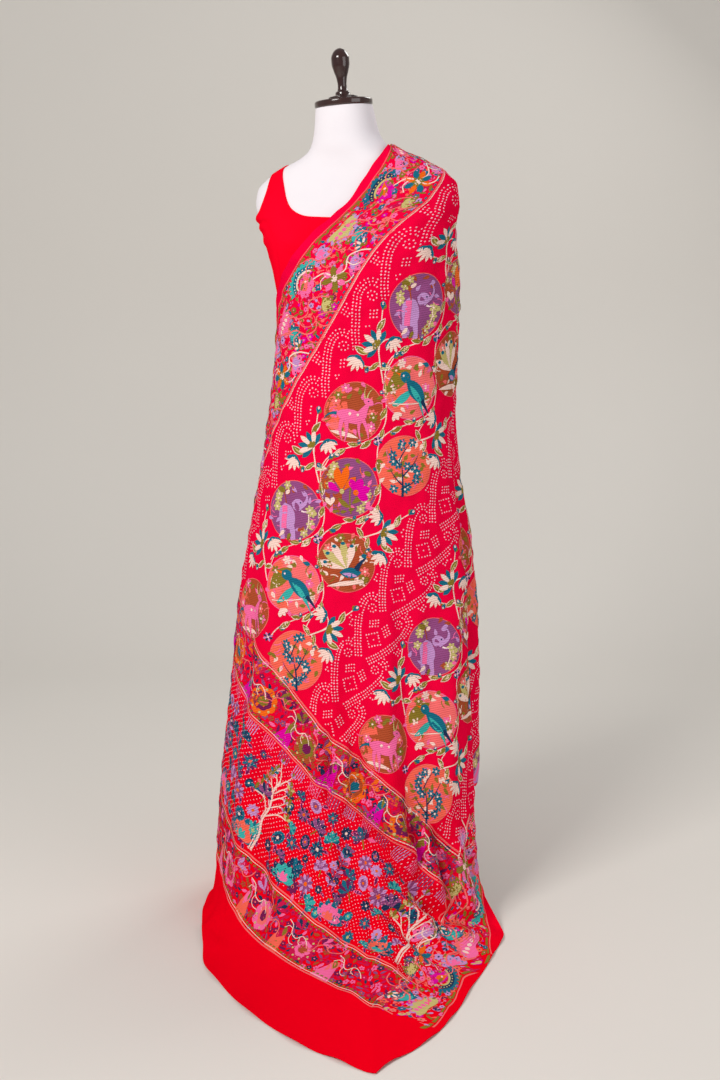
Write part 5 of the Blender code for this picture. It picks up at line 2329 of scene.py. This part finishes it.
class SARI_OT_stand(bpy.types.Operator):
    """Finish the stand's foot and pole"""

    bl_idname = "sari.stand"
    bl_label = "Foot and pole"

    def execute(self, context):
        for node, finish in (
            ("base", wood_finish("dark_wood", (48, 26, 18), (74, 42, 30))),
            ("pole", steel_finish("pole_steel", (120, 118, 115), (150, 148, 146))),
        ):
            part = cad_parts[node]
            part.data.materials.clear()
            part.data.materials.append(finish)
        return {"FINISHED"}


class SARI_OT_blouse(bpy.types.Operator):
    """Make the sleeveless fitted blouse"""

    bl_idname = "sari.blouse"
    bl_label = "Blouse"

    def execute(self, context):
        outer, inner = blouse_shell()
        mesh = sheet_mesh("fitted_blouse", outer, inner, closed=True)
        red = tuple(sizes().end_red)
        lighter = (251, red[1] + 8, red[2] + 18)
        finish = cloth_finish("blouse_crepe", red, lighter, sizes().thread_pitch, 0.75)
        blouse = new_piece("fitted_blouse", mesh, finish)
        cut = blouse.modifiers.new("outline", "BOOLEAN")
        cut.operation = "INTERSECT"
        cut.solver = "EXACT"
        cut.object = cutter = blouse_cutter()
        bake_modifiers(blouse)
        bpy.data.objects.remove(cutter)
        carry(blouse, "blouse_crepe", "blouse")
        return {"FINISHED"}


class SARI_OT_sari(bpy.types.Operator):
    """Drape the sari's cloth"""

    bl_idname = "sari.sari"
    bl_label = "Sari cloth"

    def execute(self, context):
        points, flat = cloth_points()
        outer = offset_grid(points, 0.5 * CLOTH_THICKNESS)
        inner = offset_grid(points, -0.5 * CLOTH_THICKNESS)
        mesh = sheet_mesh("sari_cloth", outer, inner, closed=False)
        store_flat(mesh, flat, 2)
        red = tuple(sizes().red)
        darker = tuple(channel * 0.95 for channel in red)
        finish = cloth_finish("sari_silk", darker, red, sizes().thread_pitch, 0.75)
        shade_end(finish, tuple(sizes().end_red))
        cloth = new_piece("sari_cloth", mesh, finish)
        carry(cloth, "sari_silk", "sari")
        area = float(flattened_area(flat))
        return {"FINISHED"}


class SARI_OT_pattern(bpy.types.Operator):
    """Lay the embroidered pattern on the cloth, one piece for each thread colour"""

    bl_idname = "sari.pattern"
    bl_label = "Embroidery"

    def execute(self, context):
        work = Needlework()
        sew_borders(work)
        sew_roundels(work)
        sew_vines(work)
        sew_end(work)
        face = outer_face()
        finishes = [(t.name, thread_finish("thread_" + t.name, (t.red, t.green, t.blue))) for t in THREADS]
        lay_threads(work, finishes)
        bpy.data.objects.remove(face)
        return {"FINISHED"}


class SARI_OT_dots(bpy.types.Operator):
    """Lay the tied dots on the cloth"""

    bl_idname = "sari.dots"
    bl_label = "Tied dots"

    def execute(self, context):
        work = Needlework()
        sew_dots(work)
        face = outer_face()
        lay_threads(work, [("dots", thread_finish("tied_dots", (255, 186, 206)))])
        bpy.data.objects.remove(face)
        return {"FINISHED"}


class SARI_OT_stage(bpy.types.Operator):
    """Make the plain floor, the lights and the camera"""

    bl_idname = "sari.stage"
    bl_label = "Stage"

    def execute(self, context):
        make_backdrop()
        make_lights()
        make_camera()
        return {"FINISHED"}


class SARI_PT_panel(bpy.types.Panel):
    """The sari's pieces and settings"""

    bl_idname = "SARI_PT_panel"
    bl_label = "Bandhani Sari"
    bl_space_type = "VIEW_3D"
    bl_region_type = "UI"
    bl_category = "Bandhani Sari"

    def draw(self, context):
        for name in SariSettings.__annotations__:
            self.layout.prop(sizes(), name)
        for piece in PIECES:
            self.layout.operator(piece.bl_idname)


PIECES = (
    SARI_OT_form,
    SARI_OT_neck,
    SARI_OT_stand,
    SARI_OT_blouse,
    SARI_OT_sari,
    SARI_OT_pattern,
    SARI_OT_dots,
    SARI_OT_stage,
)


def register():
    for kind in (SariSettings, *PIECES, SARI_PT_panel):
        bpy.utils.register_class(kind)
    bpy.types.Scene.sari_settings = bpy.props.PointerProperty(type=SariSettings)


def unregister():
    del bpy.types.Scene.sari_settings
    for kind in (SARI_PT_panel, *reversed(PIECES), SariSettings):
        bpy.utils.unregister_class(kind)


def main():
    register()
    for piece in PIECES:
        group, name = piece.bl_idname.split(".")
        getattr(getattr(bpy.ops, group), name)()
    boxes = {"cad": CAD_BOX, "visual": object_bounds()}
    plain = {name: [list(corner) for corner in box] for name, box in boxes.items()}


if __name__ == "__main__":
    main()
